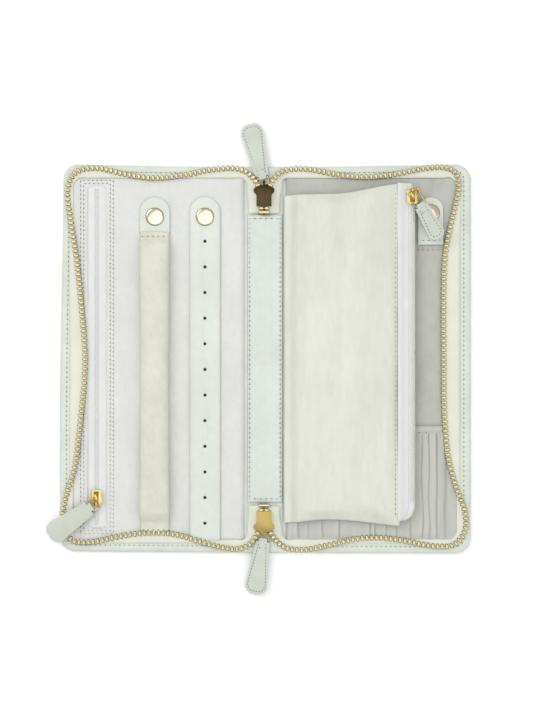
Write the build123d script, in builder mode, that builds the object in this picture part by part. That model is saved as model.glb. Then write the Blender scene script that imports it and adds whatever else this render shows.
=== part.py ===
# Zip-round travel jewellery case, lying open on its outer faces.
# Millimetres. The origin is the middle of the spine's outer face, +X points to the right
# cover, +Y to the top slider and +Z up out of the open case.
from build123d import *
import os

os.makedirs("parts", exist_ok=True)

# Covers and spine
case_height = 215.0
half_width = 113.5        # spine centre to the outer edge of a cover
corner_radius = 9.0
fold_x = 10.5             # fold line on each side of the spine
fold_gap = 0.6            # stiff layers stop this far short of the fold line
leather = 1.0
board = 1.6
lining = 0.6
rim_width = 5.0           # leather turned over the edge of a cover
rim_thickness = 0.8
board_top = leather + board
lining_top = board_top + lining

# Raised strip along the inside of the spine
strip_length = 159.0
strip_thickness = 0.8

# Main zip
tape_bottom = 3.5
tape_thickness = 0.4
teeth_bottom = tape_bottom + tape_thickness
tooth_size = (1.3, 3.0, 1.8)     # along the tape, across it, high
tooth_pitch = 2.6
tape_inward = 1.7                # tape on each side of the line of teeth
tape_outward = 1.5
main_slider_x = -0.5
main_slider_y = 89.5
main_channel_bottom = 5.8        # the chain lifts off the spine where the sliders are
spine_tape_top = 5.8

# The opened chain wanders in gentle waves, because its tape is longer than the edge it lies on
left_chain = [
    (-14.5, 104.6), (-32, 103.6), (-46, 100.8), (-61, 99.4), (-76, 101.3), (-92, 104.9),
    (-104, 102.6), (-108.6, 93), (-107, 77), (-103, 50), (-99.4, 10), (-99.2, -10),
    (-102, -40), (-104.5, -59), (-110, -78), (-111.4, -91), (-106, -99.8), (-95, -100.8),
    (-78, -97.3), (-62, -95.7), (-48, -96.9), (-33, -101.3), (-14.5, -104.6),
]
right_chain = [
    (14.5, 104.4), (24, 104.3), (41, 101.1), (55, 99.9), (70, 101.2), (88, 104.8),
    (99, 105.2), (105, 102), (106.6, 94), (104, 81), (100, 63), (98.4, 45), (98.3, 0),
    (98.7, -30), (100.6, -53), (105, -70), (110, -84), (110, -95), (103.5, -102.4),
    (92, -103), (76, -100), (62, -98.4), (50, -99.2), (36, -102.3), (24, -104.9),
    (14.5, -104.6),
]

# Zipped flat pocket in the left cover
pocket_x = -92.7
pocket_top = 94.5
pocket_bottom = -92.5
pocket_window = 7.6
pocket_tape = 4.0
pocket_bag_thickness = 0.4    # thin cloth between the board and the lining
pocket_slider_y = -76.3

# Ring roll and earring strap on the left cover
strap_bottom = 3.5        # straps lie this high, clear of the lining
strap_thickness = 1.2
strap_top = 88.9
roll_x = -60.6
roll_width = 17.0
roll_height = 8.0
roll_root = -91.5
roll_end = 69.5
earring_x = -33.0
earring_width = 16.3
earring_root = -94.5
earring_holes = 12
earring_hole_pitch = 14.1
earring_first_hole = 64.6
earring_hole_diameter = 1.8
snap_y = 78.1
snap_diameter = 10.0
snap_height = 1.6

# Necklace tabs on the right cover
necklace_tabs = 4
necklace_x = 91.2
necklace_pitch = 20.0
necklace_width = 14.0
necklace_root = 62.7
necklace_snap_y = 80.2

# Gathered elastic pocket on the right cover
elastic_left = 19.5
elastic_right = 96.0
elastic_top = -37.0
elastic_bottom = -95.5

# Pouch page, sewn in beside the right fold
pouch_left = 11.3
pouch_flange_end = 15.0
pouch_bag_start = 18.0
pouch_fabric_end = 74.0
pouch_right = 84.6
pouch_back_bottom = 7.6
pouch_leaf = 0.7
pouch_top_face = 13.0
pouch_zip_x = 80.6
pouch_zip_z = 9.4
pouch_slider_y = 88.9

# Coil zips: two rows of coil with the slider's post running between them
coil_gap = 1.2
coil_row = 1.3
coil_height = 1.2
inner_slider_size = (6.6, 5.8, 8.3)   # wide end, narrow end, length

# Sliders and pulls
main_slider_size = (11.4, 8.2, 11.8)
plate_thickness = 0.6
link_wire = 0.8
link_width = 6.8
bridge_half_length = 2.0
bridge_tunnel = 1.3
pivot_height = 0.65       # middle of the link wire above the slider's plate
pull_thickness = 1.4


def save(piece, name):
    piece.part.label = name
    export_step(piece.part, f"parts/{name}.step")


def cover_plate(side, inset, fold_inset, bottom, thickness):
    """Flat layer of a cover, with the two outer corners rounded."""
    inner_x = fold_x + fold_gap + fold_inset
    outer_x = half_width - inset
    with BuildPart() as plate:
        with BuildSketch(Plane.XY.offset(bottom)):
            with Locations((side * (inner_x + outer_x) / 2, 0)):
                Rectangle(outer_x - inner_x, case_height - 2 * inset)
            outer = vertices().sort_by(Axis.X)[-2:] if side > 0 else vertices().sort_by(Axis.X)[:2]
            fillet(outer, corner_radius - inset)
        extrude(amount=thickness)
    return plate


def cover_rim(side):
    """Leather turned over the board's edge on the three outer sides."""
    band = cover_plate(side, 0, 0, leather, board + rim_thickness)
    core = cover_plate(side, 1.3, -1, leather, board)
    middle = cover_plate(side, rim_width, -1, board_top, rim_thickness)
    with BuildPart() as rim:
        add(band.part)
        add(core.part, mode=Mode.SUBTRACT)
        add(middle.part, mode=Mode.SUBTRACT)
    return rim


def chain_line(points, shift):
    """Spline through the chain's points, moved sideways by shift."""
    moved = []
    for before, here, after in zip(points[:1] + points, points, points[1:] + points[-1:]):
        along = (Vector(*after) - Vector(*before)).normalized()
        moved.append(Vector(*here) + Vector(-along.Y, along.X) * shift)
    return moved


def zip_tape(points, left_shift, right_shift):
    """Band of tape that follows the line of teeth."""
    with BuildPart() as tape:
        with BuildSketch(Plane.XY.offset(tape_bottom)):
            with BuildLine():
                first = Spline(chain_line(points, left_shift))
                second = Spline(chain_line(points, right_shift))
                Line(first @ 0, second @ 0)
                Line(first @ 1, second @ 1)
            make_face()
        extrude(amount=tape_thickness)
    return tape


def zip_teeth(points):
    """One metal tooth at every pitch along the chain."""
    with BuildLine() as line:
        path = Spline([Vector(*point) for point in points])
    count = int(path.length / tooth_pitch)
    with BuildPart() as teeth:
        with BuildSketch(Plane.XY.offset(teeth_bottom)):
            for index in range(count):
                position = (index + 0.5) / count
                place = path @ position
                angle = Vector(1, 0).get_signed_angle(path % position)
                with Locations(Location((place.X, place.Y, 0), (0, 0, angle))):
                    Rectangle(tooth_size[0], tooth_size[1])
        extrude(amount=tooth_size[2])
    return teeth


def snap_cap(x, y, bottom):
    """Polished cap: a brim with a low dome on it."""
    with BuildPart() as cap:
        with BuildSketch(Plane.XY.offset(bottom)):
            with Locations((x, y)):
                Circle(snap_diameter / 2)
        extrude(amount=0.6)
        with BuildSketch(Plane.XY.offset(bottom + 0.6)):
            with Locations((x, y)):
                Circle(snap_diameter / 2 - 1)
        extrude(amount=snap_height - 0.6)
        fillet(cap.faces().sort_by(Axis.Z)[-1].edges(), 0.8)
    return cap


def snap_studs(places):
    """Studs that stand on a lining, inside the holes of the tabs."""
    with BuildPart() as studs:
        with BuildSketch(Plane.XY.offset(lining_top)):
            with Locations(*places):
                Circle(1.5)
        extrude(amount=1.1)
    return studs


def round_tab(x, width, root, top, snap):
    """Leather tab with a half-round end and the hole of its snap."""
    with BuildPart() as tab:
        with BuildSketch(Plane.XY.offset(strap_bottom)):
            with Locations((x, (root + top - width / 2) / 2)):
                Rectangle(width, top - width / 2 - root)
            with Locations((x, top - width / 2)):
                Circle(width / 2)
            with Locations((x, snap)):
                Circle(2.1, mode=Mode.SUBTRACT)
        extrude(amount=strap_thickness)
    return tab


def slider_outline(size):
    """Slider plate in plan, its wide crown towards +Y."""
    wide, narrow, length = size
    with BuildSketch() as outline:
        with BuildLine():
            Line((-narrow / 2, -length / 2), (narrow / 2, -length / 2))
            Line((narrow / 2, -length / 2), (narrow / 2, 0))
            Line((narrow / 2, 0), (wide / 2, length * 0.2))
            Line((wide / 2, length * 0.2), (wide / 2, length * 0.3))
            ThreePointArc((wide / 2, length * 0.3), (0, length / 2), (-wide / 2, length * 0.3))
            Line((-wide / 2, length * 0.3), (-wide / 2, length * 0.2))
            Line((-wide / 2, length * 0.2), (-narrow / 2, 0))
            Line((-narrow / 2, 0), (-narrow / 2, -length / 2))
        make_face()
        fillet(outline.vertices().group_by(Axis.Y)[0], narrow * 0.16)
    return outline.sketch


def zip_slider(plane, size, channel, bridge_y, bridge_width, post_width, rail_height):
    """Two plates, the post that parts the chain, side rails and the bridge for the link.

    The plane lies on the floor of the channel, with +Y to the crown and +Z to the pull.
    """
    narrow = size[1]
    length = size[2]
    plate_top = channel + plate_thickness
    outline = slider_outline(size)
    with BuildPart() as slider:
        with BuildSketch(plane.offset(-plate_thickness)):
            add(outline)
        extrude(amount=plate_thickness)
        with BuildSketch(plane.offset(channel)):
            add(outline)
            with Locations((0, bridge_y)):
                Rectangle(bridge_width, 2 * bridge_half_length)
        extrude(amount=plate_thickness)
        with BuildSketch(plane):
            with Locations((0, length / 2 - 1.6)):
                Rectangle(post_width, 2.0)
        extrude(amount=channel)
        if rail_height:
            with BuildSketch(plane, plane.offset(channel - rail_height)):
                with Locations((narrow / 2 - 0.25, -length / 4), (0.25 - narrow / 2, -length / 4)):
                    Rectangle(0.5, length / 2)
            extrude(amount=rail_height)
        with BuildSketch(plane.offset(plate_top)):
            with Locations((0, bridge_y)):
                Rectangle(bridge_width, 2 * bridge_half_length)
                Rectangle(bridge_width, 2 * bridge_tunnel, mode=Mode.SUBTRACT)
        extrude(amount=2 * pivot_height)
        with BuildSketch(plane.offset(plate_top + 2 * pivot_height)):
            with Locations((0, bridge_y)):
                Rectangle(bridge_width, 2 * bridge_half_length)
        extrude(amount=0.5)
    return slider


def pull_link(plane, length):
    """Rectangular ring through the slider's bridge and the end of the leather pull."""
    with BuildPart() as link:
        with BuildSketch(plane.offset(-link_wire / 2)):
            with Locations((0, length / 2)):
                Rectangle(link_width, length + link_wire)
                Rectangle(link_width - 2 * link_wire, length - link_wire, mode=Mode.SUBTRACT)
        extrude(amount=link_wire)
    return link


def leather_pull(plane, link_length, length, root_width, tip_width):
    """Tapered leather pull with a neck that wraps the far bar of the link."""
    neck_start = link_length - 1.0
    start = link_length + 0.9
    end = start + length
    with BuildPart() as pull:
        with BuildSketch(plane.offset(-pull_thickness / 2)) as blade:
            with BuildLine():
                Polyline(
                    (-root_width / 2, start), (root_width / 2, start),
                    (tip_width / 2, end), (-tip_width / 2, end), close=True,
                )
            make_face()
            fillet(blade.vertices().group_by(Axis.Y)[-1], tip_width * 0.36)
            with Locations((0, (neck_start + start) / 2)):
                Rectangle(4.4, start - neck_start)
        extrude(amount=pull_thickness)
        with BuildSketch(plane.offset(-link_wire / 2 - 0.05)):
            with Locations((0, link_length)):
                Rectangle(5.0, link_wire + 0.1)
        extrude(amount=link_wire + 0.1, mode=Mode.SUBTRACT)
    return pull


def coil_rows(x, bottom, low, high):
    """Both rows of a coil zip."""
    offset_x = (coil_gap + coil_row) / 2
    with BuildPart() as coil:
        with BuildSketch(Plane.XY.offset(bottom)):
            with Locations((x - offset_x, (low + high) / 2), (x + offset_x, (low + high) / 2)):
                Rectangle(coil_row, high - low)
        extrude(amount=coil_height)
    return coil


def coil_stops(x, bottom, low, high):
    """Crimped stops beyond the two ends of a coil."""
    with BuildPart() as stops:
        with BuildSketch(Plane.XY.offset(bottom)):
            with Locations((x, low - 1), (x, high + 1)):
                Rectangle(5.0, 1.6)
        extrude(amount=coil_height)
    return stops


# Covers
for side, word in ((-1, "left"), (1, "right")):
    outer_leather = cover_plate(side, 0, 0, 0, leather)
    save(outer_leather, f"{word}_outer_leather")
    stiffener = board - pocket_bag_thickness if side < 0 else board
    save(cover_plate(side, 1.4, 0.4, leather, stiffener), f"{word}_board")
    save(cover_rim(side), f"{word}_rim")

# Back leaf of the zipped pocket: it lies all over the left board, and the lining is its front
pocket_bag = cover_plate(-1, 2.4, 1.4, board_top - pocket_bag_thickness, pocket_bag_thickness)
save(pocket_bag, "pocket_bag")

with BuildPart() as left_lining:
    add(cover_plate(-1, rim_width + 0.1, 0.4, board_top, lining).part)
    with BuildSketch(Plane.XY.offset(board_top)):
        with Locations((pocket_x, (pocket_top + pocket_bottom) / 2)):
            Rectangle(pocket_window, pocket_top - pocket_bottom)
    extrude(amount=lining, mode=Mode.SUBTRACT)
save(left_lining, "left_lining")
save(cover_plate(1, rim_width + 0.1, 0.4, board_top, lining), "right_lining")

# Spine
spine_half = fold_x - fold_gap
with BuildPart() as spine_outer_leather:
    with BuildSketch():
        Rectangle(2 * spine_half, case_height)
    extrude(amount=leather)
save(spine_outer_leather, "spine_outer_leather")

with BuildPart() as spine_board:
    with BuildSketch(Plane.XY.offset(leather)):
        Rectangle(2 * spine_half - 1, case_height - 2)
    extrude(amount=board)
save(spine_board, "spine_board")

with BuildPart() as spine_inner_leather:
    with BuildSketch(Plane.XY.offset(board_top)):
        Rectangle(2 * spine_half, case_height)
    extrude(amount=lining)
save(spine_inner_leather, "spine_inner_leather")

with BuildPart() as spine_strip:
    with BuildSketch(Plane.XY.offset(lining_top)):
        Rectangle(2 * spine_half - 0.6, strip_length)
    extrude(amount=strip_thickness)
    fillet(spine_strip.edges().group_by(Axis.Z)[-1].filter_by(Axis.Y), 0.3)
save(spine_strip, "spine_strip")

# Main zip on the covers
save(zip_tape(left_chain, tape_inward, -tape_outward), "left_zip_tape")
save(zip_tape(right_chain, tape_outward, -tape_inward), "right_zip_tape")
save(zip_teeth(left_chain), "left_zip_teeth")
save(zip_teeth(right_chain), "right_zip_teeth")

# Ends of the main zip on the spine: tape on both sides of each slider, joined under the stop
tape_end_inner = 6.3
tape_end_outer = 8.6
tape_end_start = strip_length / 2 + 0.4
stop_length = 1.2
with BuildPart() as spine_zip_tapes:
    with BuildSketch(Plane.XY.offset(lining_top)):
        with BuildLine():
            Polyline(
                (tape_end_inner, tape_end_start), (tape_end_outer, tape_end_start),
                (tape_end_outer, 104.2), (tape_end_inner, 100.6), close=True,
            )
        make_face()
        mirror(about=Plane.YZ)
        with Locations((0, tape_end_start + stop_length / 2)):
            Rectangle(2 * tape_end_inner, stop_length)
        mirror(about=Plane.XZ)
    extrude(amount=spine_tape_top - lining_top)
save(spine_zip_tapes, "spine_zip_tapes")

# Closed end of the chain, where teeth from both sides mesh, between the strip and each slider
stub_start = tape_end_start + stop_length
stub_teeth = 4
with BuildPart() as spine_zip_teeth:
    with BuildSketch(Plane.XY.offset(main_channel_bottom + 0.2)):
        for index in range(stub_teeth):
            tooth_y = stub_start + (index + 0.5) * tooth_pitch / 2
            tooth_x = main_slider_x + (1.3 if index % 2 else -1.3)
            with Locations((tooth_x, tooth_y), (tooth_x, -tooth_y)):
                Rectangle(tooth_size[1], 1.1)
    extrude(amount=tooth_size[2])
save(spine_zip_teeth, "spine_zip_teeth")

with BuildPart() as main_zip_stops:
    stop_y = tape_end_start + stop_length / 2
    with BuildSketch(Plane.XY.offset(spine_tape_top)):
        with Locations((main_slider_x, stop_y), (main_slider_x, -stop_y)):
            Rectangle(6.0, stop_length)
    extrude(amount=tooth_size[2] + 0.2)
save(main_zip_stops, "main_zip_stops")

# Zip of the flat pocket
with BuildPart() as pocket_zip_tapes:
    with BuildSketch(Plane.XY.offset(tape_bottom)):
        for sign in (-1, 1):
            tape_x = pocket_x + sign * (coil_gap + pocket_tape) / 2
            with Locations((tape_x, (pocket_top + pocket_bottom) / 2)):
                Rectangle(pocket_tape, pocket_top - pocket_bottom + 3)
    extrude(amount=tape_thickness)
save(pocket_zip_tapes, "pocket_zip_tapes")
save(coil_rows(pocket_x, teeth_bottom, pocket_bottom + 1, pocket_top - 1), "pocket_zip_coil")
save(coil_stops(pocket_x, teeth_bottom, pocket_bottom + 1, pocket_top - 1), "pocket_zip_stops")

# Ring roll: a flat sewn root, then a padded half-round roll, with a leather tab at its free end
with BuildPart() as ring_roll_pad:
    with BuildSketch(Plane.XZ):
        with BuildLine():
            left = roll_x - roll_width / 2
            right = roll_x + roll_width / 2
            Line((left, strap_bottom), (right, strap_bottom))
            Line((right, strap_bottom), (right, strap_bottom + 2.5))
            ThreePointArc(
                (right, strap_bottom + 2.5), (roll_x, strap_bottom + roll_height),
                (left, strap_bottom + 2.5),
            )
            Line((left, strap_bottom + 2.5), (left, strap_bottom))
        make_face()
    extrude(amount=120, both=True)
    with BuildSketch(Plane.YZ.offset(roll_x)):
        with BuildLine():
            Line((roll_root, strap_bottom), (roll_end, strap_bottom))
            Line((roll_end, strap_bottom), (roll_end, strap_bottom + 1.5))
            Line((roll_end, strap_bottom + 1.5), (roll_end - 6, strap_bottom + roll_height))
            Line((roll_end - 6, strap_bottom + roll_height), (roll_root + 9, strap_bottom + roll_height))
            Line((roll_root + 9, strap_bottom + roll_height), (roll_root, strap_bottom + 1.5))
            Line((roll_root, strap_bottom + 1.5), (roll_root, strap_bottom))
        make_face()
    extrude(amount=roll_width, both=True, mode=Mode.INTERSECT)
save(ring_roll_pad, "ring_roll_pad")
save(round_tab(roll_x, 16.4, roll_end, strap_top, snap_y), "ring_roll_tab")
save(snap_cap(roll_x, snap_y, strap_bottom + strap_thickness), "ring_roll_snap_cap")

# Earring strap with its row of small holes
with BuildPart() as earring_strap_leather:
    add(round_tab(earring_x, earring_width, earring_root, strap_top, snap_y).part)
    with BuildSketch(Plane.XY.offset(strap_bottom)):
        for index in range(earring_holes):
            with Locations((earring_x, earring_first_hole - index * earring_hole_pitch)):
                Circle(earring_hole_diameter / 2)
    extrude(amount=strap_thickness, mode=Mode.SUBTRACT)
save(earring_strap_leather, "earring_strap_leather")
save(snap_cap(earring_x, snap_y, strap_bottom + strap_thickness), "earring_strap_snap_cap")
save(snap_studs([(roll_x, snap_y), (earring_x, snap_y)]), "left_snap_studs")

# Necklace tabs, numbered from the outer edge towards the spine
tab_places = [necklace_x - index * necklace_pitch for index in range(necklace_tabs)]
for index, tab_x in enumerate(tab_places):
    tab = round_tab(tab_x, necklace_width, necklace_root, strap_top, necklace_snap_y)
    save(tab, f"necklace_tab_{index + 1}_leather")
    cap = snap_cap(tab_x, necklace_snap_y, strap_bottom + strap_thickness)
    save(cap, f"necklace_tab_{index + 1}_snap_cap")
save(snap_studs([(tab_x, necklace_snap_y) for tab_x in tab_places]), "right_snap_studs")

# Gathered elastic pocket: front cloth with a hem tunnel, sewn down on three sides
with BuildPart() as elastic_pocket_cloth:
    middle_x = (elastic_left + elastic_right) / 2
    middle_y = (elastic_top + elastic_bottom) / 2
    with BuildSketch(Plane.XY.offset(lining_top)):
        with Locations((middle_x, middle_y)):
            Rectangle(elastic_right - elastic_left, elastic_top - elastic_bottom)
    extrude(amount=2.6)
    with BuildSketch(Plane.XY.offset(lining_top)):
        with Locations((middle_x, elastic_top - 1.8)):
            Rectangle(elastic_right - elastic_left, 3.6)
    extrude(amount=3.2)
    with BuildSketch(Plane.XY.offset(lining_top)):
        with Locations((middle_x, middle_y + 1.5)):
            Rectangle(elastic_right - elastic_left - 3, elastic_top - elastic_bottom + 1)
    extrude(amount=1.4, mode=Mode.SUBTRACT)
    with BuildSketch(Plane.XY.offset(lining_top + 1.7)):
        with Locations((middle_x, elastic_top - 1.8)):
            Rectangle(elastic_right - elastic_left, 1.6)
    extrude(amount=1.1, mode=Mode.SUBTRACT)
save(elastic_pocket_cloth, "elastic_pocket_cloth")

with BuildPart() as elastic_pocket_cord:
    with BuildSketch(Plane.XY.offset(lining_top + 1.75)):
        with Locations((middle_x, elastic_top - 1.8)):
            Rectangle(elastic_right - elastic_left, 1.5)
    extrude(amount=1.0)
save(elastic_pocket_cord, "elastic_pocket_cord")


# Pouch page: the plan outline has a slightly slanted top edge, higher beside the zip
def pouch_plan(right_x, inset):
    with BuildPart() as plan:
        with BuildSketch():
            with BuildLine():
                Polyline(
                    (pouch_left, -91.5 + inset), (right_x - inset, -89.7 + inset),
                    (right_x - inset, 97.2 - inset), (pouch_left, 90.7 - inset), close=True,
                )
            make_face()
        extrude(amount=30)
    return plan.part


flange_bottom = strap_bottom
flange_middle = flange_bottom + pouch_leaf
back_top = pouch_back_bottom + pouch_leaf
with BuildPart() as pouch_back_leaf:
    with BuildSketch(Plane.XZ):
        with BuildLine():
            Polyline(
                (pouch_left, flange_bottom), (pouch_flange_end, flange_bottom),
                (pouch_bag_start, pouch_back_bottom), (pouch_right, pouch_back_bottom),
                (pouch_right, back_top), (pouch_bag_start - 0.3, back_top),
                (pouch_flange_end - 0.3, flange_middle), (pouch_left, flange_middle), close=True,
            )
        make_face()
    extrude(amount=120, both=True)
    add(pouch_plan(pouch_right, 0), mode=Mode.INTERSECT)
save(pouch_back_leaf, "pouch_back_leaf")

wall = 0.8
with BuildPart() as pouch_front_leaf:
    with BuildSketch(Plane.XZ):
        with BuildLine():
            Polyline(
                (pouch_left, flange_middle), (pouch_flange_end - 0.3, flange_middle),
                (pouch_bag_start - 0.3, back_top), (pouch_fabric_end, back_top),
                (pouch_fabric_end, pouch_top_face), (pouch_bag_start + 1.0, pouch_top_face),
                (pouch_flange_end - 0.5, flange_middle + pouch_leaf),
                (pouch_left, flange_middle + pouch_leaf), close=True,
            )
        make_face()
    extrude(amount=120, both=True)
    with BuildSketch(Plane.XZ):
        with BuildLine():
            Polyline(
                (pouch_bag_start + 0.6, back_top), (pouch_fabric_end, back_top),
                (pouch_fabric_end, pouch_top_face - pouch_leaf),
                (pouch_bag_start + 1.8, pouch_top_face - pouch_leaf), close=True,
            )
        make_face()
    extrude(amount=88, both=True, mode=Mode.SUBTRACT)
    add(pouch_plan(pouch_fabric_end, 0), mode=Mode.INTERSECT)
save(pouch_front_leaf, "pouch_front_leaf")

# Pouch zip: the inner tape slopes down from the front leaf, the outer one turns to the back leaf
pouch_tape_low = -87.5
pouch_tape_high = 96.5
tape_top = pouch_zip_z + tape_thickness
with BuildPart() as pouch_zip_tapes:
    with BuildSketch(Plane.XZ.offset(-pouch_tape_high)):
        with BuildLine():
            Polyline(
                (pouch_fabric_end, 12.2), (76.6, pouch_zip_z), (pouch_zip_x - coil_gap / 2, pouch_zip_z),
                (pouch_zip_x - coil_gap / 2, tape_top), (76.8, tape_top), (pouch_fabric_end, 12.8),
                close=True,
            )
        make_face()
        with BuildLine():
            Polyline(
                (pouch_zip_x + coil_gap / 2, pouch_zip_z), (pouch_right - 0.4, pouch_zip_z),
                (pouch_right - 0.4, back_top), (pouch_right, back_top), (pouch_right, tape_top),
                (pouch_zip_x + coil_gap / 2, tape_top), close=True,
            )
        make_face()
    extrude(amount=pouch_tape_high - pouch_tape_low)
save(pouch_zip_tapes, "pouch_zip_tapes")
save(coil_rows(pouch_zip_x, tape_top, pouch_tape_low + 2, pouch_tape_high - 2), "pouch_zip_coil")
save(coil_stops(pouch_zip_x, tape_top, pouch_tape_low + 2, pouch_tape_high - 2), "pouch_zip_stops")

# Main sliders: the bridge and the pull are on the outer side, under the open case
main_channel = 2.2
main_pivot_y = main_slider_size[2] / 2 + 0.5
main_pivot_z = main_channel_bottom - plate_thickness - pivot_height
for sign, word, pull_angle in ((1, "top", 102.9), (-1, "bottom", 261.5)):
    slider_plane = Plane(
        origin=(main_slider_x, sign * main_slider_y, main_channel_bottom + main_channel),
        x_dir=(-sign, 0, 0), z_dir=(0, 0, -1),
    )
    slider = zip_slider(slider_plane, main_slider_size, main_channel, main_pivot_y, 1.2, 1.6, 0.8)
    save(slider, f"{word}_slider_body")
    pull_plane = Plane(
        origin=(main_slider_x, sign * (main_slider_y + main_pivot_y), main_pivot_z),
        x_dir=Vector(1, 0, 0).rotate(Axis.Z, pull_angle - 90), z_dir=(0, 0, 1),
    )
    save(pull_link(pull_plane, 3.8), f"{word}_pull_link")
    save(leather_pull(pull_plane, 3.8, 29.3, 7.6, 13.2), f"{word}_pull_leather")

# Sliders of the two coil zips, with their pulls on top
inner_channel = tape_thickness + coil_height + 0.4
inner_pivot_y = inner_slider_size[2] / 2 - 1.3
inner_sliders = (
    ("pocket", pocket_x, pocket_slider_y, tape_bottom - 0.2, -1, 215.8, 3.8, 26.8, 8.6, 13.2),
    ("pouch", pouch_zip_x, pouch_slider_y, pouch_zip_z - 0.2, 1, 299.0, 9.0, 20.0, 7.4, 9.6),
)
for word, x, y, floor, sign, pull_angle, link_length, length, root_width, tip_width in inner_sliders:
    slider_plane = Plane(origin=(x, y, floor), x_dir=(sign, 0, 0), z_dir=(0, 0, 1))
    slider = zip_slider(slider_plane, inner_slider_size, inner_channel, inner_pivot_y, 0.8, 0.8, 0)
    save(slider, f"{word}_slider_body")
    pivot_z = floor + inner_channel + plate_thickness + pivot_height
    pull_plane = Plane(
        origin=(x, y + sign * inner_pivot_y, pivot_z),
        x_dir=Vector(1, 0, 0).rotate(Axis.Z, pull_angle - 90), z_dir=(0, 0, 1),
    )
    save(pull_link(pull_plane, link_length), f"{word}_pull_link")
    save(leather_pull(pull_plane, link_length, length, root_width, tip_width), f"{word}_pull_leather")
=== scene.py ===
# Travel jewellery case, lying open: leather, cloth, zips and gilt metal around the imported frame
import math
import bpy
import bmesh
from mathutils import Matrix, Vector, noise
from mathutils.bvhtree import BVHTree


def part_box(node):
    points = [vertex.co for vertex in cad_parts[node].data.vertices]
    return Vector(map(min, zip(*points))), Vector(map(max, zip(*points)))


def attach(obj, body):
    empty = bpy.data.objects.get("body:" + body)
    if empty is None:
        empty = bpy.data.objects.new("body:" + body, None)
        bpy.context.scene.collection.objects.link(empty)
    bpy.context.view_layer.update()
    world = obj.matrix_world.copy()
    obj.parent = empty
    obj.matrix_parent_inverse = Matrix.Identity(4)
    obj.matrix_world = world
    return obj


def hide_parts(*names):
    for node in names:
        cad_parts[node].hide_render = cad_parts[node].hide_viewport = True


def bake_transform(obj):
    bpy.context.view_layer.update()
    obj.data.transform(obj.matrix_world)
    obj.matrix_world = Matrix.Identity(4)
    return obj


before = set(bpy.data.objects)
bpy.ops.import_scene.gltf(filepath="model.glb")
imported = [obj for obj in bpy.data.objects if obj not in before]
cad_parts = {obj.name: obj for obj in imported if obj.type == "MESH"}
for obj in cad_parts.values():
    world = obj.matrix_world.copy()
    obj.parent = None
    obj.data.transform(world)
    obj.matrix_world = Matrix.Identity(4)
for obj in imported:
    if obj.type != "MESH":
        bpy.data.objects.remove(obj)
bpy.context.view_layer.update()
mm = 0.001



def corners(node):                       # lowest and highest corner of a node, in millimetres
    return [[value / mm for value in corner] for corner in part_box(node)]


# where the case's own layers are, read from the frame
halfWidth, halfHeight = corners("right_outer_leather")[1][:2]
coverEdge = corners("right_outer_leather")[0][0]
spineEdge = corners("spine_outer_leather")[1][0]
liningTop = corners("right_lining")[1][2]
cornerRadius = 9.0
seamInset = 6.8           # from the edge of the case to where the zip tape is sewn in


# ---- shader helpers

class Value:              # wraps a socket, so that node maths reads as Python
    def __init__(self, maker, socket):
        self.maker = maker
        self.socket = socket

    def math(self, operation, first, second):
        return self.maker.node("ShaderNodeMath", {"operation": operation}, {0: first, 1: second})

    def __add__(self, other):
        return self.math("ADD", self, other)

    def __radd__(self, other):
        return self.math("ADD", other, self)

    def __mul__(self, other):
        return self.math("MULTIPLY", self, other)

    def __rmul__(self, other):
        return self.math("MULTIPLY", other, self)


studioGain = 1.17          # how bright the studio makes an upward-facing white surface
overheadGain = 1.75        # how bright its softbox is in polished metal


def seen(red, green, blue, gain=studioGain):     # surface colour that looks like a screen colour, 0 to 255
    def one(c):
        c = c / 255
        return (c / 12.92 if c <= 0.04045 else ((c + 0.055) / 1.055) ** 2.4) / gain
    return (one(red), one(green), one(blue), 1.0)


def around(colour, spread, gain=studioGain):     # a darker and a lighter version
    red, green, blue = colour
    dark = seen(red - spread, green - spread, blue - spread * 1.1, gain)
    return dark, seen(min(255, red + spread), min(255, green + spread), min(255, blue + spread * 0.9), gain)


class Finish:             # one material and the way its nodes are made
    def __init__(self, name):
        self.material = bpy.data.materials.new(name)
        self.material.use_nodes = True
        self.tree = self.material.node_tree
        self.shader = self.tree.nodes["Principled BSDF"]
        self.place = self.node("ShaderNodeTexCoord", {}, {}, "Object")

    def node(self, kind, settings, values, output=0):
        made = self.tree.nodes.new(kind)
        stops = settings.pop("stops", None)
        for key, value in settings.items():
            setattr(made, key, value)
        if stops:
            ramp = made.color_ramp
            while len(ramp.elements) < len(stops):
                ramp.elements.new(0.5)
            for element, (at, colour) in zip(ramp.elements, stops):
                element.position = at
                element.color = colour
        for key, value in values.items():
            self.feed(made.inputs[key], value)
        return Value(self, made.outputs[output])

    def feed(self, socket, value):
        if isinstance(value, Value):
            self.tree.links.new(value.socket, socket)
        else:
            socket.default_value = value

    def stretch(self, x, y, z):       # object coordinates, scaled differently each way
        return self.node("ShaderNodeVectorMath", {"operation": "MULTIPLY"}, {0: self.place, 1: (x, y, z)})

    def cloud(self, scale, detail=3.0, place=None):
        values = {"Vector": place or self.place, "Scale": scale, "Detail": detail}
        return self.node("ShaderNodeTexNoise", {}, values, "Fac")

    def ramp(self, factor, *stops):
        return self.node("ShaderNodeValToRGB", {"stops": list(stops)}, {"Fac": factor}, "Color")

    def level(self, factor, low, high):
        return self.node("ShaderNodeMapRange", {}, {"Value": factor, "To Min": low, "To Max": high})

    def painted(self, name):          # a value kept on the mesh
        return self.node("ShaderNodeAttribute", {"attribute_name": name}, {}, "Fac")

    def bump(self, height, strength, distance):
        values = {"Height": height, "Strength": strength, "Distance": distance}
        return self.node("ShaderNodeBump", {}, values)

    def wave(self, scale, direction, place=None):
        settings = {"wave_type": "BANDS", "bands_direction": direction}
        values = {"Vector": place or self.place, "Scale": scale}
        return self.node("ShaderNodeTexWave", settings, values, "Fac")

    def done(self, inputs):
        for key, value in inputs.items():
            self.feed(self.shader.inputs[key], value)
        return self.material


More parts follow.
